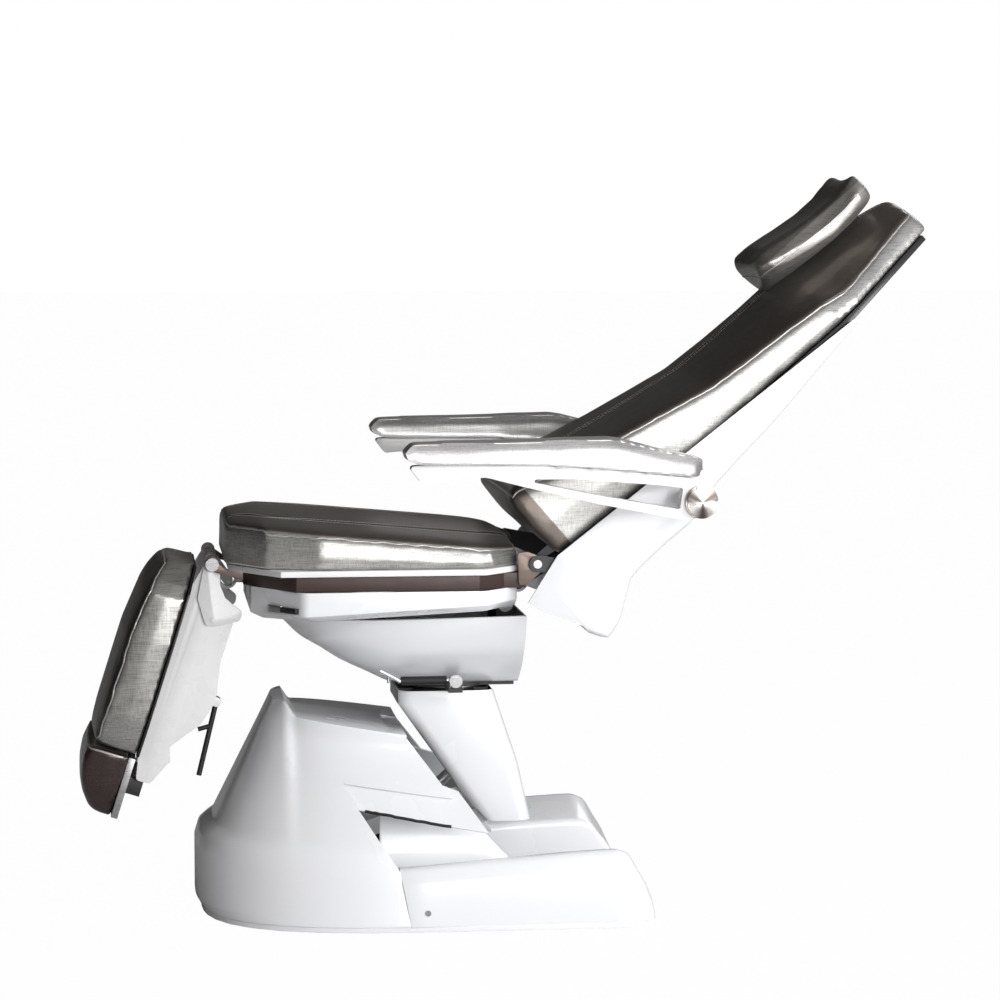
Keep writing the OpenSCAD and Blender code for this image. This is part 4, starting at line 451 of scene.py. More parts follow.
def settled(o):
    """Puts what an object's modifiers make in place of its mesh, and takes them off."""
    dg = bpy.context.evaluated_depsgraph_get()
    me = bpy.data.meshes.new_from_object(o.evaluated_get(dg))
    o.modifiers.clear()
    old, o.data = o.data, me
    bpy.data.meshes.remove(old)
    return me


def merged(node):
    """A node's triangles as one closed skin, flat faces joined again."""
    bm = bmesh.new()
    bm.from_mesh(frame["nodes"][node].data)
    bmesh.ops.remove_doubles(bm, verts=bm.verts, dist=2e-6)
    return bm


def shaded(o, angle=32):
    me = o.data
    me.shade_smooth()
    bm = bmesh.new()
    bm.from_mesh(me)
    for e in bm.edges:
        e.smooth = not (e.is_manifold and e.calc_face_angle(0) > math.radians(angle))
    bm.to_mesh(me)
    bm.free()
    return o


def eased(node, name, finish, width=1.0, angle=34, flat=1.0):
    """A refined copy of a rigid node: the same form with its hard edges rounded off."""
    bm = merged(node)
    bmesh.ops.dissolve_limit(bm, angle_limit=math.radians(flat), verts=bm.verts, edges=bm.edges)
    sharp = [e for e in bm.edges if e.is_manifold and e.calc_face_angle(0) > math.radians(angle)]
    bmesh.ops.bevel(bm, geom=sharp, offset=width * MM, segments=2, profile=0.6, affect="EDGES",
                    clamp_overlap=True)
    bmesh.ops.remove_doubles(bm, verts=bm.verts, dist=1e-6)
    o = shaded(object_of(name, bm, FINISH[finish]), 40)
    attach(o, frame["nodes"][node]["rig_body"])
    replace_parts(o, node)
    return o


def cut_away(bm, corners, axis=(0, 1, 0), keep=False, where=None):
    """Cuts a sheet along a closed outline and drops what is inside it, or outside where keep is set.

    corners are chair millimetres: X and Z for axis Y, X and Y for axis Z."""
    along_y = axis[1] == 1
    pts = [(upright([(a, 0, b)]) if along_y else upright([(a, b, 0)]))[0] for a, b in corners]
    for p, q in zip(pts, pts[1:] + pts[:1]):
        d = Vector(q) - Vector(p)
        n = d.cross(Vector(axis)).normalized()
        faces = list(bm.faces)
        geom = faces + list(bm.edges) + list(bm.verts)
        bmesh.ops.bisect_plane(bm, geom=geom, dist=1e-7, plane_co=Vector(p), plane_no=n)
    flat = [(p[0], p[2] if along_y else p[1]) for p in pts]
    gone = []
    for f in bm.faces:
        c = f.calc_center_median()
        x, y = c[0], c[2] if along_y else c[1]
        inside = False
        for (x1, y1), (x2, y2) in zip(flat, flat[1:] + flat[:1]):
            if (y1 > y) != (y2 > y) and x < (x2 - x1) * (y - y1) / (y2 - y1) + x1:
                inside = not inside
        if inside != keep and (where is None or where(c)):
            gone.append(f)
    bmesh.ops.delete(bm, geom=gone, context="FACES")


def grid(bm, rows, closed=False):
    """Skins rows of points; returns their vertices."""
    made = [[bm.verts.new(p) for p in row] for row in rows]
    for a, b in zip(made, made[1:]):
        n = len(a)
        for i in range(n if closed else n - 1):
            j = (i + 1) % n
            try:
                bm.faces.new((a[i], a[j], b[j], b[i]))
            except ValueError:
                pass
    return made


def walled(name, bm, finish, wall, rim=0.9, angle=40):
    """Gives a sheet its wall on the inner side and rounds the rim."""
    bmesh.ops.remove_doubles(bm, verts=bm.verts, dist=2e-6)
    o = object_of(name, bm, FINISH[finish])
    mod = o.modifiers.new("wall", "SOLIDIFY")
    mod.thickness, mod.offset, mod.use_even_offset, mod.use_quality_normals = wall * MM, -1, True, True
    me = settled(o)
    if rim:
        bm = bmesh.new()
        bm.from_mesh(me)
        sharp = [e for e in bm.edges if e.is_manifold and e.calc_face_angle(0) > math.radians(60)]
        bmesh.ops.bevel(bm, geom=sharp, offset=rim * MM, segments=2, profile=0.5, affect="EDGES",
                        clamp_overlap=True)
        bm.to_mesh(me)
        bm.free()
    return shaded(o, angle)


def outward(bm, inside):
    """Turns a sheet so that its faces look away from an inner point."""
    bmesh.ops.recalc_face_normals(bm, faces=bm.faces)
    total = sum((f.calc_center_median() - Vector(inside)).dot(f.normal) * f.calc_area() for f in bm.faces)
    if total < 0:
        bmesh.ops.reverse_faces(bm, faces=bm.faces)


def coords(me):
    co = np.empty(len(me.vertices) * 3)
    me.vertices.foreach_get("co", co)
    return co.reshape(-1, 3)


def normals(me):
    no = np.empty(len(me.vertices) * 3)
    me.vertices.foreach_get("normal", no)
    return no.reshape(-1, 3)


def in_section(co, at, angle):
    """Metres to millimetres along, across and above a tilted section."""
    x, z = co[:, 0] / MM + MIDDLE_X - at[0], co[:, 2] / MM - at[1]
    c, s = math.cos(angle), math.sin(angle)
    return x * c + z * s, co[:, 1] / MM, -x * s + z * c


def laid_on(o, path, step=3.0):
    """Draws a path over a cushion: evenly spaced points on its surface, with their normals."""
    p = np.asarray(path, float)
    along = np.r_[0, np.cumsum(np.linalg.norm(np.diff(p, axis=0), axis=1))]
    n = max(8, int(along[-1] / (step * MM)))
    s = np.linspace(0, along[-1], n)
    even = np.column_stack([np.interp(s, along, p[:, k]) for k in range(3)])
    me = o.data
    tree = BVHTree.FromPolygons([v.co for v in me.vertices], [tuple(f.vertices) for f in me.polygons])
    pts, nos = [], []
    for q in even:
        hit, normal, _, _ = tree.find_nearest(q)
        pts.append(hit)
        nos.append(normal)
    return np.array(pts), np.array(nos)


def tube_rows(pts, nos, r, sides=8, closed=False):
    """The rings of a cord laid along points, kept upright by the surface's normals."""
    rows = []
    n = len(pts)
    for k in range(n):
        a = pts[(k - 1) % n if closed else max(k - 1, 0)]
        b = pts[(k + 1) % n if closed else min(k + 1, n - 1)]
        t = (b - a) / max(np.linalg.norm(b - a), 1e-9)
        u = nos[k] - t * (nos[k] @ t)
        u /= max(np.linalg.norm(u), 1e-9)
        w = np.cross(t, u)
        rows.append([pts[k] + r * (math.cos(a2) * u + math.sin(a2) * w)
                     for a2 in np.linspace(0, 2 * math.pi, sides, endpoint=False)])
    return rows


def softened(a, rounds=2, closed=False):
    for _ in range(rounds):
        b = a.copy()
        if closed:
            b = (np.roll(a, 1, 0) + 2 * a + np.roll(a, -1, 0)) / 4
        else:
            b[1:-1] = (a[:-2] + 2 * a[1:-1] + a[2:]) / 4
        a = b
    return a


# The front hood: a superellipse toe drawn in towards the lip, with a roof that falls to the rear
HOOD_FRONT = [(0, 0.982), (0.04, 1), (0.296, 1), (0.353, 0.986), (0.382, 0.959), (0.405, 0.932), (1, 0.699)]
HOOD_SIDE = [(0, 1), (0.345, 0.917), (0.638, 0.74), (0.94, HOOD_TOP_W / HALF_W), (1, HOOD_TOP_W / HALF_W)]
ROOF = [(0, 0.883), (0.183, 0.918), (0.616, 1), (0.651, 1.07), (0.7, 1.07)]


def toe_curve(front, half, rear, steps=46):
    side = [(rear - k * rear / 8, half) for k in range(8)] if rear > 0 else []
    for k in range(steps + 1):
        a = math.radians(90 * (k / steps) ** 1.25)
        side.append((-front * math.sin(a) ** (2 / 3), half * max(math.cos(a), 0) ** (2 / 3)))
    return side + [(x, -y) for x, y in reversed(side[:-1])]


def hood_ring(t, d, rear):
    h = HOOD_TOP - PLINTH
    half = flowing(t, HOOD_SIDE) * HALF_W - d
    front = TOE * straight(t, HOOD_FRONT) - d
    return [(x, y, PLINTH + t * (h - d) - t * t * (HOOD_TOP - HOOD_H * straight(-x / TOE, ROOF)))
            for x, y in toe_curve(front, half, rear)]


def hood_skin(d, rear):
    levels = sorted(set([0, 0.012, 0.025, 0.04, 0.296, 0.353, 0.382, 0.405] + [k / 52 for k in range(2, 53)]))
    bm = bmesh.new()
    made = grid(bm, [upright(hood_ring(t, d, rear)) for t in levels])
    top = made[-1]
    n = len(top)
    for i in range(n // 2 - 1):
        bm.faces.new((top[i], top[i + 1], top[n - 2 - i], top[n - 1 - i]))
    bm.faces.new((top[n // 2 - 1], top[n // 2], top[n // 2 + 1]))
    bmesh.ops.remove_doubles(bm, verts=bm.verts, dist=1e-5)
    outward(bm, upright([(-150, 0, 150)])[0])
    return bm


def front_hood():
    bm = hood_skin(0, 0)
    cut_away(bm, [(-194, 242), (-169, 200), (-105, 105), (-88, 16), (-88, -20), (60, -20), (60, 200),
                  (-12, 216)])
    cut_away(bm, [(-84, 500), (-84, 310), (-12, 216), (100, 190), (100, 500)])
    cut_away(bm, [(-112, -45), (-60, -45), (-60, 45), (-112, 45)], (0, 0, 1), where=lambda c: c[2] > 0.28)
    o = walled("Front_hood_cover", bm, "white_cover", 4)
    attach(o, "base")
    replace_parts(o, "front_hood")


def slot_shade_strip(o, name, path):
    """A thin black rubber tube set along the slot of a shroud: a dark strip put in for the shade inside the
    slot, painted shade.
    """
    pts, nos = laid_on(o, path, 2.0)
    pts, nos = softened(pts, 4), softened(nos, 4)
    bm = bmesh.new()
    made = grid(bm, tube_rows(pts - nos * 1.4 * MM, nos, 2.6 * MM, 10), True)
    bm.faces.new(made[0])
    bm.faces.new(made[-1])
    bmesh.ops.recalc_face_normals(bm, faces=bm.faces)
    seal = object_of(name, bm, FINISH["black_rubber"])
    seal.data.shade_smooth()
    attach(seal, "base")


def side_shroud(name, node, side):
    bm = hood_skin(4.7, 60)
    cut_away(bm, [(-200, 270), (-195, 240), (-169, 200), (46, 162), (0, 225), (-55, 245)], keep=True)
    gone = [f for f in bm.faces if f.calc_center_median()[1] * side < 0.0476]
    bmesh.ops.delete(bm, geom=gone, context="FACES")
    o = walled(name, bm, "white_cover", 3, 0.7)
    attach(o, "base")
    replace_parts(o, node)
    # A black strip along the slot line: painted shade
    path = upright([(x, side * 400, 238.5 - (x + 194) * 0.1429) for x in np.linspace(-188, -24, 60)])
    slot_shade_strip(o, name + "_slot_shade_strip", path)


# The rear deck: two moulded legs with a rounded near ridge and a round toe
DECK_CREST = [(-0.3, 0.818), (0.24, 0.92), (0.62, 0.985), (0.772, 1), (0.852, 0.942), (0.91, 0.73),
              (0.988, 0.365), (1, 0.25)]
DECK_SIDE = [(0.8, 1), (0.93, 0.975), (0.985, 0.95), (1, 0.925)]


def rounded(points, radii, steps):
    """An open outline with its inner corners turned to arcs."""
    made = [points[0]]
    for i in range(1, len(points) - 1):
        p, a, b = (np.array(q, float) for q in (points[i], points[i - 1], points[i + 1]))
        u, v = a - p, b - p
        lu, lv = np.linalg.norm(u), np.linalg.norm(v)
        u, v = u / lu, v / lv
        half = math.acos(max(-1, min(1, float(u @ v)))) / 2
        t = min(radii[i] / math.tan(half), 0.48 * min(lu, lv))
        for k in range(steps + 1):
            s = k / steps
            made.append(tuple((p + u * t) * (1 - s) ** 2 + 2 * p * s * (1 - s) + (p + v * t) * s * s))
    return made + [points[-1]]


def deck_ring(x, first):
    s = min(1, x / LEG_REACH)
    c = CREST * flowing(s, DECK_CREST)
    hw = HALF_W * straight(s, DECK_SIDE)
    rise = c - PLINTH
    p = [(-CHANNEL, PLINTH), (-CHANNEL, PLINTH + rise * 0.72), (-hw + 25, c), (-hw + 10, PLINTH + rise * 0.7),
         (-hw, PLINTH)]
    lean = DECK_LEAN if first else 0
    return [(x - max(0, z - PLINTH) * lean, y, z) for y, z in rounded(p, [1, 14, 16, 26, 1], 6)]


INNER_TOP = [(-130, 193), (-60, 184), (30, 160), (75, 118), (98, 94)]


def inner_wall(side):
    """The cove between a deck leg and the column: it rises from the deck in a soft hollow to its rim."""
    bm = bmesh.new()
    rows = []
    for x in np.linspace(-130, 98, 58):
        rim = flowing(x, INNER_TOP)
        low = 70 + 12 * (x + 130) / 228
        rise = rim - low
        row = []
        for k in range(17):
            t = k / 16
            y = 166.5 - 4.2 * t + 46 * (1 - t) ** 3.2 * min(1, rise / 60)
            row.append((x, side * y, low + rise * t ** 1.25))
        rows.append(upright(row))
    grid(bm, rows)
    outward(bm, upright([(0, 0, 120)])[0])
    name = "Deck_inner_wall_" + ("left" if side < 0 else "right")
    return walled(name, bm, "white_cover", 2.4, 0.6)


def rear_deck():
    bm = bmesh.new()
    xs = [DECK_FRONT, *np.linspace(-60, 0.77 * LEG_REACH, 24)]
    xs += [LEG_REACH * s for s in np.linspace(0.78, 1, 28)]
    made = grid(bm, [upright(deck_ring(x, k == 0)) for k, x in enumerate(xs)])
    bm.faces.new(made[-1])
    outward(bm, upright([(100, -230, 60)])[0])
    other = [f for f in bm.faces]
    twin = bmesh.ops.duplicate(bm, geom=other + list(bm.edges) + list(bm.verts))["geom"]
    for v in [g for g in twin if isinstance(g, bmesh.types.BMVert)]:
        v.co.y = -v.co.y
    bmesh.ops.reverse_faces(bm, faces=[g for g in twin if isinstance(g, bmesh.types.BMFace)])
    o = walled("Rear_deck_cover", bm, "white_cover", 4, 1.0, 32)
    bridge = bmesh.new()
    lo, hi = upright([(DECK_FRONT, -CHANNEL, PLINTH), (60, CHANNEL, PLINTH + 4)])
    place = Matrix.LocRotScale((Vector(lo) + Vector(hi)) / 2, None, Vector(hi - lo))
    bmesh.ops.create_cube(bridge, size=1, matrix=place)
    bmesh.ops.bevel(bridge, geom=list(bridge.edges), offset=0.001, segments=2, affect="EDGES")
    floor_piece = shaded(object_of("Deck_bridge", bridge, FINISH["white_cover"]))
    for piece in (o, floor_piece, inner_wall(-1), inner_wall(1)):
        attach(piece, "base")
    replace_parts(o, "rear_deck_cover")


# The bowl under the seat
BOWL_LEVELS = [0, 0.115, 0.33, 0.517, 0.687, 0.9, 1]
BOWL_FRONT = list(zip(BOWL_LEVELS, [0.387, 0.473, 0.643, 0.757, 0.867, 0.953, 1]))
BOWL_SIDE = list(zip(BOWL_LEVELS, [0.405, 0.524, 0.714, 0.833, 0.905, 0.976, 1]))


def bowl():
    bm = bmesh.new()
    rows = []
    for k in range(31):
        t = k / 30
        z = 394.3 + t * 118
        ring = toe_curve(300 * flowing(t, BOWL_FRONT), 210 * flowing(t, BOWL_SIDE), 115, 30)
        rows.append(upright([(x, y, z + t * t * 8 * (x + 300) / 415) for x, y in ring]))
    made = grid(bm, rows, True)
    low = made[0]
    n = len(low)
    for i in range(n // 2 - 1):
        bm.faces.new((low[n - 1 - i], low[n - 2 - i], low[i + 1], low[i]))
    bm.faces.new((low[n // 2 + 1], low[n // 2], low[n // 2 - 1]))
    bmesh.ops.remove_doubles(bm, verts=bm.verts, dist=1e-5)
    outward(bm, upright([(-60, 0, 470)])[0])
    under = upright([(0, 0, 397)])[0][2]
    cut_away(bm, [(-86, -18), (-34, -18), (-34, 18), (-86, 18)], (0, 0, 1), where=lambda c: c[2] < under)
    for s in (-1, 1):
        slot = [(70, s * 57), (112, s * 57), (112, s * 70), (70, s * 70)]
        cut_away(bm, slot, (0, 0, 1), where=lambda c: c[2] < under)
    o = walled("Swivel_bowl_cover", bm, "white_cover", 3)
    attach(o, "head")
    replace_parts(o, "bowl_cover")


# The back's moulded shell: a shallow U along the back, drawn down to a tail at the hinge
SHELL_LOW = [(-11, -145), (8, -172), (37, -165), (78, -139), (107, -122), (142, -119), (181, -118),
             (232, -119), (307, -100), (463, -83), (690, -47)]
SHELL_TOP = [(-55, -37), (34, -10), (690, -43.5)]


def back_shell():
    bm = bmesh.new()
    rows = []
    us = sorted(set([-11, 8, 34, 668] + list(np.linspace(-11, 668, 74))))
    for u in us:
        low, top = flowing(u, SHELL_LOW), straight(u, SHELL_TOP)
        r, hw = min(16, (top - low) * 0.48), SHELL_HALF_W
        arc = [(-hw + r + r * math.cos(a), low + r + r * math.sin(a))
               for a in np.linspace(math.pi, 1.5 * math.pi, 8)]
        half = [(-hw, top), *arc]
        rows.append(on_back([(u, y, h) for y, h in half + [(-y, h) for y, h in reversed(half)]]))
    made = grid(bm, rows)
    first = made[0]
    for s in (0, 1):
        a, b = (first[0], first[1]) if s == 0 else (first[-1], first[-2])
        side = -SHELL_HALF_W if s == 0 else SHELL_HALF_W
        tail = [bm.verts.new(p) for p in on_back([(-55, side, -37), (-45, side, -65), (-12, side, -126)])]
        bm.faces.new((a, *tail, b))
    outward(bm, on_back([(250, 0, 0)])[0])
    o = walled("Back_shell", bm, "white_cover", 4)
    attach(o, "back")
    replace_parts(o, "back_shell")


front_hood()
side_shroud("Side_shroud_left", "side_shroud_left", -1)
side_shroud("Side_shroud_right", "side_shroud_right", 1)
rear_deck()
bowl()
back_shell()

# Rigid parts whose form is right keep it, with their hard edges rounded off
# The frontmost face of the leaning column takes a grey band: painted shade on the face turned away from the
# lights
column = eased("column_cover", "Column_cover", "white_cover", 1.2)
column.data.materials.append(FINISH["painted_shade_cover"])
front = min(v.co[0] for v in column.data.vertices)
for f in column.data.polygons:
    if f.normal[0] < -0.9 and f.center[0] < front + COLUMN_SHADE_DEPTH * MM:
        f.material_index = 1
EASED = {
    # node: finish, rounding in mm, and the angle past which an edge is rounded
    "seat_tray": ("white_cover", 2.2, 20),
    "seat_board": ("white_board", 1.6),
    "back_board": ("black_board", 1.5),
    "leg_board": ("black_board", 0.9),
    "armrest_frame_left": ("white_steel", 2.2),
    "armrest_frame_right": ("white_steel", 2.2),
    "armrest_knob_left": ("knob_metal", 1.0),
    "armrest_knob_right": ("knob_metal", 1.0),
    "leg_carrier": ("white_steel", 0.8),
    "leg_link_plates": ("white_steel", 0.9),
    "seat_frame": ("brown_steel", 0.8),
    "back_hinge_brackets": ("bronze_steel", 0.9),
    "leg_hinge_ears": ("bronze_steel", 0.8),
    "foot_slide": ("satin_steel", 0.8),
    "latch_lever": ("satin_steel", 0.6),
    "latch_grip": ("black_rubber", 1.6),
    "base_plinth": ("white_cover", 1.0),
    "control_box": ("black_plastic", 3.0),
}
for node, how in EASED.items():
    eased(node, node.capitalize(), *how)
slide = bpy.data.objects["Foot_slide"]
slide.data.materials.append(FINISH["black_plastic"])
u, _, h = in_section(np.array([f.center for f in slide.data.polygons]), LEG_HINGE, LEG_ANGLE)
for f, black in zip(slide.data.polygons, (h < BLOCK_TOP) & (u < BLOCK_END)):
    if black:
        f.material_index = 1

KEPT = {
    "dark_steel": ["base_frame", "column_frame", "back_frame", "swivel_plate"],
    "satin_steel": ["cover_screws", "base_pivot_pins", "column_pivot_pins", "swivel_bearing_ring",
                    "lift_actuator_rod", "tilt_actuator_rod", "tilt_pins", "leg_hinge_pins", "back_hinge_pins",
                    "armrest_shaft", "back_actuator_rod", "gas_spring_rod"],
    "white_steel": ["lower_lift_arm", "upper_lift_arm"],
    "black_rubber": ["levelling_feet", "swivel_lever_grip"],
    "black_plastic": ["mains_inlet", "lift_actuator_tube", "tilt_actuator_tube", "back_actuator_tube",
                      "gas_spring_tube", "release_handle"],
    "knob_chrome": ["swivel_lever_knob", "swivel_lever"],
}
for finish, names in KEPT.items():
    for name in names:
        o = frame["nodes"][name]
        for s in o.material_slots:
            s.material = FINISH[finish]
        if not o.material_slots:
            o.data.materials.append(FINISH[finish])


# Upholstery
def skin_of(node, name, voxel, easing):
    """A node's closed skin remeshed evenly, so that the filling can swell it."""
    bm = merged(node)
    o = object_of(name, bm, FINISH["piping"])
    mod = o.modifiers.new("even", "REMESH")
    mod.mode, mod.voxel_size, mod.adaptivity = "VOXEL", voxel * MM, 0
    soft = o.modifiers.new("ease", "SMOOTH")
    soft.factor, soft.iterations = 0.5, easing
    settled(o)
    return o


def heights(co, at, angle, low):
    """How far points stand above the base plane of a cushion, in millimetres."""
    x, z = co[:, 0] / MM + MIDDLE_X - at[0], co[:, 2] / MM - at[1]
    return -x * math.sin(angle) + z * math.cos(angle) - low


CUSHIONS = {
    # node: name, voxel mm, cap mm, inset mm, fill, base (hinge, angle, height), finish
    "seat_cushion": ("Seat_cushion", 6.0, 4.5, 3.0, 0.85, ((0, 0), 0.0, SEAT_BASE), "seat_leather"),
    "back_cushion": ("Back_cushion", 7.5, 5, 3.5, 0.8, (BACK_HINGE, BACK_ANGLE, -36.0), "back_leather"),
    "leg_cushion": ("Leg_cushion", 6.0, 4, 2.5, 0.85, (LEG_HINGE, LEG_ANGLE, 27.0), "leg_leather"),
    "foot_cushion": ("Foot_cushion", 4.5, 3.5, 2.0, 0.85, (LEG_HINGE, LEG_ANGLE, 37.3), "foot_end_painted_reflection"),
    "headrest_pillow": ("Headrest_pillow", 4.5, 7, 0.5, 0.65, None, "pillow_leather"),
    "armrest_pad_left": ("Armrest_pad_left", 4.0, 2, 1.5, 0.9, None, "pad_leather"),
    "armrest_pad_right": ("Armrest_pad_right", 4.0, 2, 1.5, 0.9, None, "pad_leather"),
}


def evened(me, move, rounds):
    """A move of every point, averaged with its neighbours' moves."""
    ends = np.empty(len(me.edges) * 2, int)
    me.edges.foreach_get("vertices", ends)
    a, b = ends[0::2], ends[1::2]
    count = np.bincount(ends, minlength=len(move))[:, None]
    for _ in range(rounds):
        total = np.zeros_like(move)
        np.add.at(total, a, move[b])
        np.add.at(total, b, move[a])
        move = 0.5 * move + 0.5 * total / np.maximum(count, 1)
    return move


def stuff_cushions():
    """Swells every cushion against its leather, all in one run of twenty steps."""
    made = {}
    for node, (name, voxel, cap, inset, fill, base, finish) in CUSHIONS.items():
        o = skin_of(node, name, voxel, 3)
        co = coords(o.data) - normals(o.data) * inset * MM * 1
        if base:
            h = heights(coords(o.data), base[0], base[1], base[2])
            low = np.clip(1 - h / 6, 0, 1)[:, None]
            co = co * (1 - low) + coords(o.data) * low
        o.data.vertices.foreach_set("co", co.ravel())
        o.data.update()
        made[node] = (o, co)
        mod = o.modifiers.new("stuffing", "CLOTH")
        c = mod.settings
        c.quality, c.mass, c.air_damping = 4, 0.3, 1.0
        c.tension_stiffness = c.compression_stiffness = 18
        c.shear_stiffness, c.bending_stiffness = 8, 2
        c.use_pressure, c.uniform_pressure_force = True, 4.0
        c.effector_weights.gravity = 0
        mod.point_cache.frame_start, mod.point_cache.frame_end = 1, 20
    for f in range(1, 21):
        scene.frame_set(f)
    dg = bpy.context.evaluated_depsgraph_get()
    for node, (o, rest) in made.items():
        new = coords(o.evaluated_get(dg).data)
        cap, base = CUSHIONS[node][2], CUSHIONS[node][5]
        move = new - rest
        far = np.linalg.norm(move, axis=1, keepdims=True)
        move *= np.minimum(1, cap * MM / np.maximum(far, 1e-9))
        if base:
            move *= np.clip(heights(rest, base[0], base[1], base[2]) / 14, 0, 1)[:, None]
        o.modifiers.clear()
        move = evened(o.data, move, 24)
        o.data.vertices.foreach_set("co", (rest + move).ravel())
        o.data.update()
    scene.frame_set(1)
    for o, _ in made.values():
        mod = o.modifiers.new("finer", "SUBSURF")
        mod.levels = mod.render_levels = 1
        settled(o)
    return {node: o for node, (o, _) in made.items()}


def sew(o, paths, depth, width):
    """Presses sewn seams into a cushion along paths."""
    pts = [laid_on(o, p)[0] for p in paths]
    every = np.vstack(pts)
    tree = kdtree.KDTree(len(every))
    for k, p in enumerate(every):
        tree.insert(p, k)
    tree.balance()
    co, no = coords(o.data), normals(o.data)
    d = np.array([tree.find(v)[2] for v in co])
    co -= no * (depth * MM * np.exp(-(d / (width * MM)) ** 2))[:, None]
    o.data.vertices.foreach_set("co", co.ravel())
    o.data.update()
    return pts


def piping(o, name, path, r, finish, sink=0.35, closed=True):
    """A welt of rolled leather sewn in along a seam."""
    pts, nos = laid_on(o, path, 4.0)
    pts, nos = softened(pts, 3, closed), softened(nos, 3, closed)
    pts = pts - nos * r * MM * sink
    bm = bmesh.new()
    rows = tube_rows(pts, nos, r * MM, 8, closed)
    if closed:
        rows.append(rows[0])
    made = grid(bm, rows, True)
    if not closed:
        bm.faces.new(made[0])
        bm.faces.new(made[-1])
    bmesh.ops.remove_doubles(bm, verts=bm.verts, dist=1e-6)
    bmesh.ops.recalc_face_normals(bm, faces=bm.faces)
    w = object_of(name, bm, FINISH[finish])
    w.data.shade_smooth()
    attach(w, body_of_piece(o))
    return w


def stitch_tree():
    """Geometry Nodes: thread stitches of a given length and pitch, laid end to end along a seam line."""
    t = bpy.data.node_groups.new("seam_stitches", "GeometryNodeTree")
    face = t.interface
    face.new_socket("Geometry", in_out="INPUT", socket_type="NodeSocketGeometry")
    for name, value in (("Pitch", 0.0058), ("Stitch length", 0.0042), ("Thread radius", 0.00055)):
        face.new_socket(name, in_out="INPUT", socket_type="NodeSocketFloat").default_value = value
    face.new_socket("Seed", in_out="INPUT", socket_type="NodeSocketInt").default_value = 7
    thread = face.new_socket("Thread", in_out="INPUT", socket_type="NodeSocketMaterial")
    thread.default_value = FINISH["thread"]
    face.new_socket("Geometry", in_out="OUTPUT", socket_type="NodeSocketGeometry")
    given = t.nodes.new("NodeGroupInput")
    line = t.nodes.new("GeometryNodeMeshToCurve")
    even = t.nodes.new("GeometryNodeResampleCurve")
    even.mode = "LENGTH"
    along = t.nodes.new("GeometryNodeInputTangent")
    turn = t.nodes.new("FunctionNodeAlignRotationToVector")
    turn.axis = "Z"
    bead = t.nodes.new("GeometryNodeMeshUVSphere")
    bead.inputs["Segments"].default_value, bead.inputs["Rings"].default_value = 6, 5
    bead.inputs["Radius"].default_value = 1.0
    size = t.nodes.new("ShaderNodeCombineXYZ")
    half = t.nodes.new("ShaderNodeMath")
    half.operation, half.inputs[1].default_value = "MULTIPLY", 0.5
    wobble = t.nodes.new("FunctionNodeRandomValue")
    wobble.data_type = "FLOAT"
    low, high = [s for s in wobble.inputs if s.name in ("Min", "Max") and s.enabled]
    low.default_value, high.default_value = 0.9, 1.0
    shape = t.nodes.new("GeometryNodeTransform")
    put = t.nodes.new("GeometryNodeInstanceOnPoints")
    real = t.nodes.new("GeometryNodeRealizeInstances")
    paint = t.nodes.new("GeometryNodeSetMaterial")
    end = t.nodes.new("NodeGroupOutput")
    link = t.links.new
    link(given.outputs["Geometry"], line.inputs["Mesh"])
    link(line.outputs["Curve"], even.inputs["Curve"])
    link(given.outputs["Pitch"], even.inputs["Length"])
    link(along.outputs["Tangent"], turn.inputs["Vector"])
    link(given.outputs["Stitch length"], half.inputs[0])
    link(half.outputs[0], size.inputs["Z"])
    link(given.outputs["Thread radius"], size.inputs["X"])
    link(given.outputs["Thread radius"], size.inputs["Y"])
    link(size.outputs[0], shape.inputs["Scale"])
    link(bead.outputs["Mesh"], shape.inputs["Geometry"])
    link(given.outputs["Seed"], wobble.inputs["Seed"])
    link(even.outputs["Curve"], put.inputs["Points"])
    link(shape.outputs["Geometry"], put.inputs["Instance"])
    link(turn.outputs["Rotation"], put.inputs["Rotation"])
    link([s for s in wobble.outputs if s.enabled][0], put.inputs["Scale"])
    link(put.outputs["Instances"], real.inputs["Geometry"])
    link(real.outputs["Geometry"], paint.inputs["Geometry"])
    link(given.outputs["Thread"], paint.inputs["Material"])
    link(paint.outputs["Geometry"], end.inputs["Geometry"])
    return t


STITCHES = stitch_tree()


def stitched(o, name, paths, lift=0.25):
    """Lays stitches over a cushion along paths."""
    bm = bmesh.new()
    for path in paths:
        pts, nos = laid_on(o, path, 3.0)
        pts = softened(pts, 2) + nos * lift * MM
        row = [bm.verts.new(p) for p in pts]
        for a, b in zip(row, row[1:]):
            bm.edges.new((a, b))
    w = object_of(name, bm, FINISH["thread"])
    mod = w.modifiers.new("stitches", "NODES")
    mod.node_group = STITCHES
    settled(w).shade_smooth()
    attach(w, body_of_piece(o))


def body_of_piece(o):
    return frame["nodes"][o["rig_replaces"][0]]["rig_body"]


SEAT_W = [(-394, 0.55), (-312, 1), (43.4, 1), (103, 0.776)]
SEAT_TOP = [(-394, 73.7), (-344.3, 74), (103, 35)]


def seat_rim(inset, drop=0.0):
    side = []
    for x in [-394 + inset, -388 + inset, -350, -312, -260, -160, -60, 0, 43.4, 80, 97 - inset, 103 - inset]:
        w = SEAT_HALF_W * straight(x, SEAT_W)
        side.append((x, -(w - inset), SEAT_BASE + straight(x, SEAT_TOP) - drop))
    pts = side + [(x, -y, z) for x, y, z in reversed(side)]
    return upright(pts + [pts[0]])


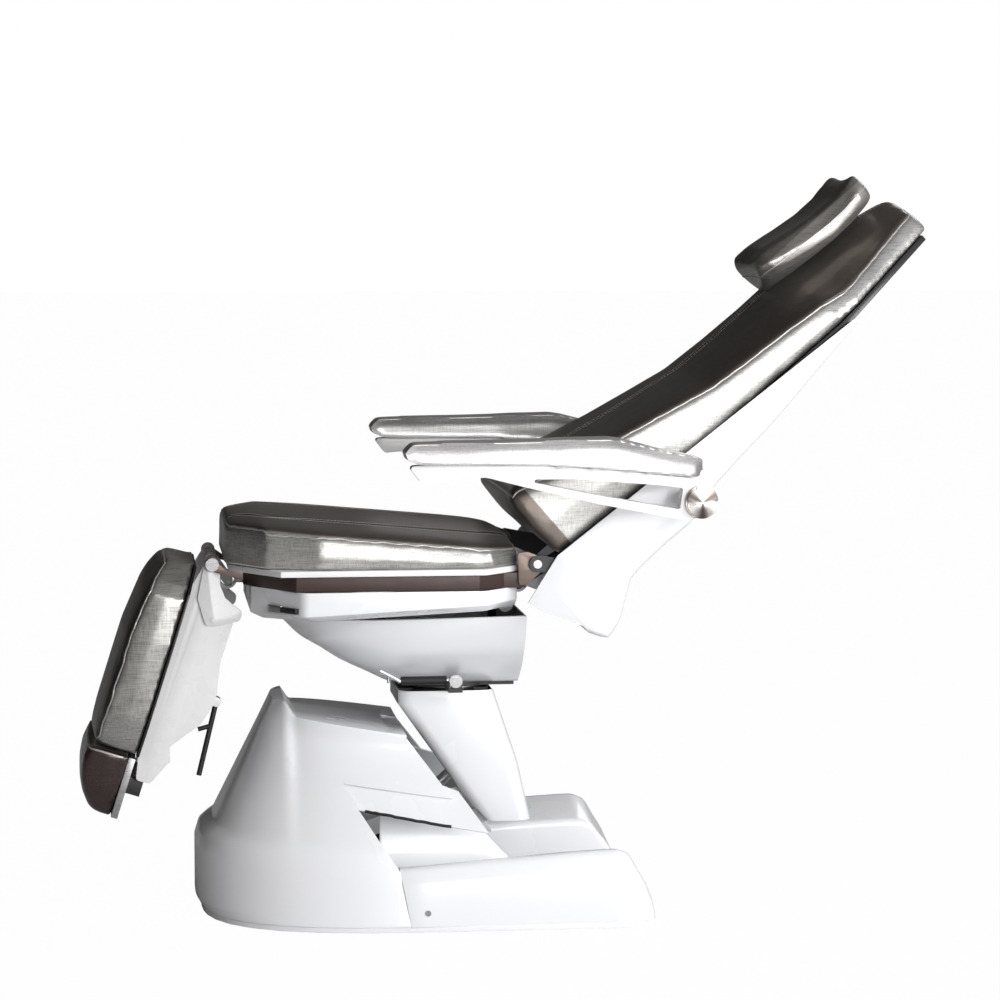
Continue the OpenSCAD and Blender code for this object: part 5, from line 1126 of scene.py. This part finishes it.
BACK_W = [(0, 0.96), (25, 1), (666, 1), (895, 0.44)]
BACK_SIDE = [(30, 117), (46, 127), (244, 74), (355, 49), (426, 33), (545, 25), (655, 15), (704, 4), (895, 14)]
BACK_CROWN = [(46, 0), (204, 6), (311, 12), (475, 23), (560, 30), (700, 48), (760, 44), (820, 36), (895, 18)]


def back_rim(inset, drop=0.0):
    side = []
    inner = [60, 100, 150, 244, 300, 355, 426, 500, 545, 600, 655, 666, 704, 760, 820, 870]
    for u in [30 + inset, 40 + inset, *inner, 888 - inset, 895 - inset]:
        w = BACK_HALF_W * straight(u, BACK_W)
        side.append((u, -(w - inset), straight(u, BACK_SIDE) - drop))
    pts = side + [(u, -y, h) for u, y, h in reversed(side)]
    return on_back(pts + [pts[0]])


LEG_W = [(8, 0.57), (55, 0.985), (148, 1), (276, 0.97), (345, 0.855)]
LEG_H = [(8, 0.66), (55, 0.87), (148, 1), (345, 1)]


def leg_rim(inset):
    side = []
    for d in [8 + inset, 20 + inset, 55, 100, 148, 200, 276, 310, 333 - inset, 345 - inset]:
        w = LEG_HALF_W * straight(d, LEG_W)
        side.append((-d, -(w - inset), 27 + 76 * straight(d, LEG_H)))
    pts = side + [(u, -y, h) for u, y, h in reversed(side)]
    return on_leg(pts + [pts[0]])


def mark_panel(o, distance):
    """Keeps, for every point, how far it lies inside the top panel's seam, in metres; inside it the leather
    takes its darker top colour, painted shade.
    """
    at = o.data.attributes.new("shaded_top_panel", "FLOAT", "POINT")
    at.data.foreach_set("value", np.asarray(distance, float))


def panel_depth(u, y, ends, half, above):
    """How far points lie inside a panel that runs between two ends, in millimetres."""
    return np.minimum(np.minimum(half - abs(y), np.minimum(u - ends[0], ends[1] - u)), above)


def seat_run(start, end, side, beside=0):
    """The line of a seam along the seat, or one beside it."""
    return upright([(x, side * ((SEAT_HALF_W * straight(x, SEAT_W) - 25) * 0.58 + beside), 700)
                    for x in np.linspace(start, end, 40)])


def back_run(start, end, y):
    """A line along the middle of the back, above its crown."""
    return on_back([(x, y, straight(x, BACK_SIDE) + straight(x, BACK_CROWN) + 30)
                    for x in np.linspace(start, end, 50)])


def read(table, x):
    return np.interp(x, [t[0] for t in table], [t[1] for t in table])


cushions = stuff_cushions()
for node, o in cushions.items():
    finish = CUSHIONS[node][6]
    o.data.materials.clear()
    o.data.materials.append(FINISH[finish])
    o.data.shade_smooth()
    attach(o, frame["nodes"][node]["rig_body"])
    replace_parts(o, node)

seat, back = cushions["seat_cushion"], cushions["back_cushion"]
leg, foot = cushions["leg_cushion"], cushions["foot_cushion"]
pillow = cushions["headrest_pillow"]

# Seat: two seams run along the top, and a welt round its edge
u, y, h = in_section(coords(seat.data), (0, 0), 0)
w = SEAT_HALF_W * read(SEAT_W, u)
# Inside the top panel the seat takes its darker top colour: painted shade
mark_panel(seat, panel_depth(u, y, (-388, 97), w - 6, h - (SEAT_BASE + read(SEAT_TOP, u) - 7)) * MM)
sew(seat, [seat_run(-385, 95, s) for s in (-1, 1)], 3.2, 5.0)
sew(seat, [seat_rim(6, 4)], 1.2, 3.5)
piping(seat, "Seat_cushion_welt", seat_rim(6, 4), 2.0, "piping")
stitched(seat, "Seat_cushion_stitches", [seat_run(-380, 92, s, k * 7) for s in (-1, 1) for k in (-1, 1)])

u, y, h = in_section(coords(back.data), BACK_HINGE, BACK_ANGLE)
w = BACK_HALF_W * read(BACK_W, u)
inside = panel_depth(u, y, (38, 886), w - 7, h - (read(BACK_SIDE, u) - 8))
# The lower end takes the panel's darker top colour too: painted shade where it turns down under the armrest
mark_panel(back, np.maximum(inside, 66 - u) * MM)
sew(back, [back_run(52, 880, 0)], 3.4, 5.5)
sew(back, [back_rim(7, 4)], 1.2, 3.5)
piping(back, "Back_cushion_welt", back_rim(7, 4), 2.0, "piping")
stitched(back, "Back_cushion_stitches", [back_run(56, 876, s * 7) for s in (-1, 1)])

u, y, h = in_section(coords(leg.data), LEG_HINGE, LEG_ANGLE)
w = LEG_HALF_W * read(LEG_W, -u)
# Inside the top panel the legrest takes its darker top colour: painted shade
mark_panel(leg, panel_depth(-u, y, (16, 337), w - 7, h - (27 + 76 * read(LEG_H, -u) - 8)) * MM)
sew(leg, [leg_rim(7)], 1.2, 3.5)
piping(leg, "Leg_cushion_welt", leg_rim(7), 1.8, "piping")

mark_panel(foot, np.ones(len(foot.data.vertices)))
rim = [(-351, y, z) for y, z in [(-158, 45), (-158, 98), (-150, 108), (-60, 114)]]
rim += [(u, -y, z) for u, y, z in reversed(rim)]
piping(foot, "Foot_cushion_welt", on_leg(rim), 2.0, "piping", closed=False)

# The pillow's upper part takes the darker top colour: painted shade
mark_panel(pillow, heights(coords(pillow.data), BACK_HINGE, BACK_ANGLE, 57 + 48) * MM)
side = [(618, -100), (640, -117), (700, -118), (800, -118), (840, -112), (855, -100)]
ring = [*side, (857, 0), *[(u, -y) for u, y in reversed(side)], (616, 0), side[0]]
edge = [(u, y, 57 + 32) for u, y in ring]
piping(pillow, "Headrest_pillow_welt", on_back(edge), 1.8, "piping")
# The upper part of each pad takes the darker top colour: painted shade
for node in ("armrest_pad_left", "armrest_pad_right"):
    o = cushions[node]
    low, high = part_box(node)
    mark_panel(o, coords(o.data)[:, 2] - (low[2] + (high[2] - low[2]) * 0.72))
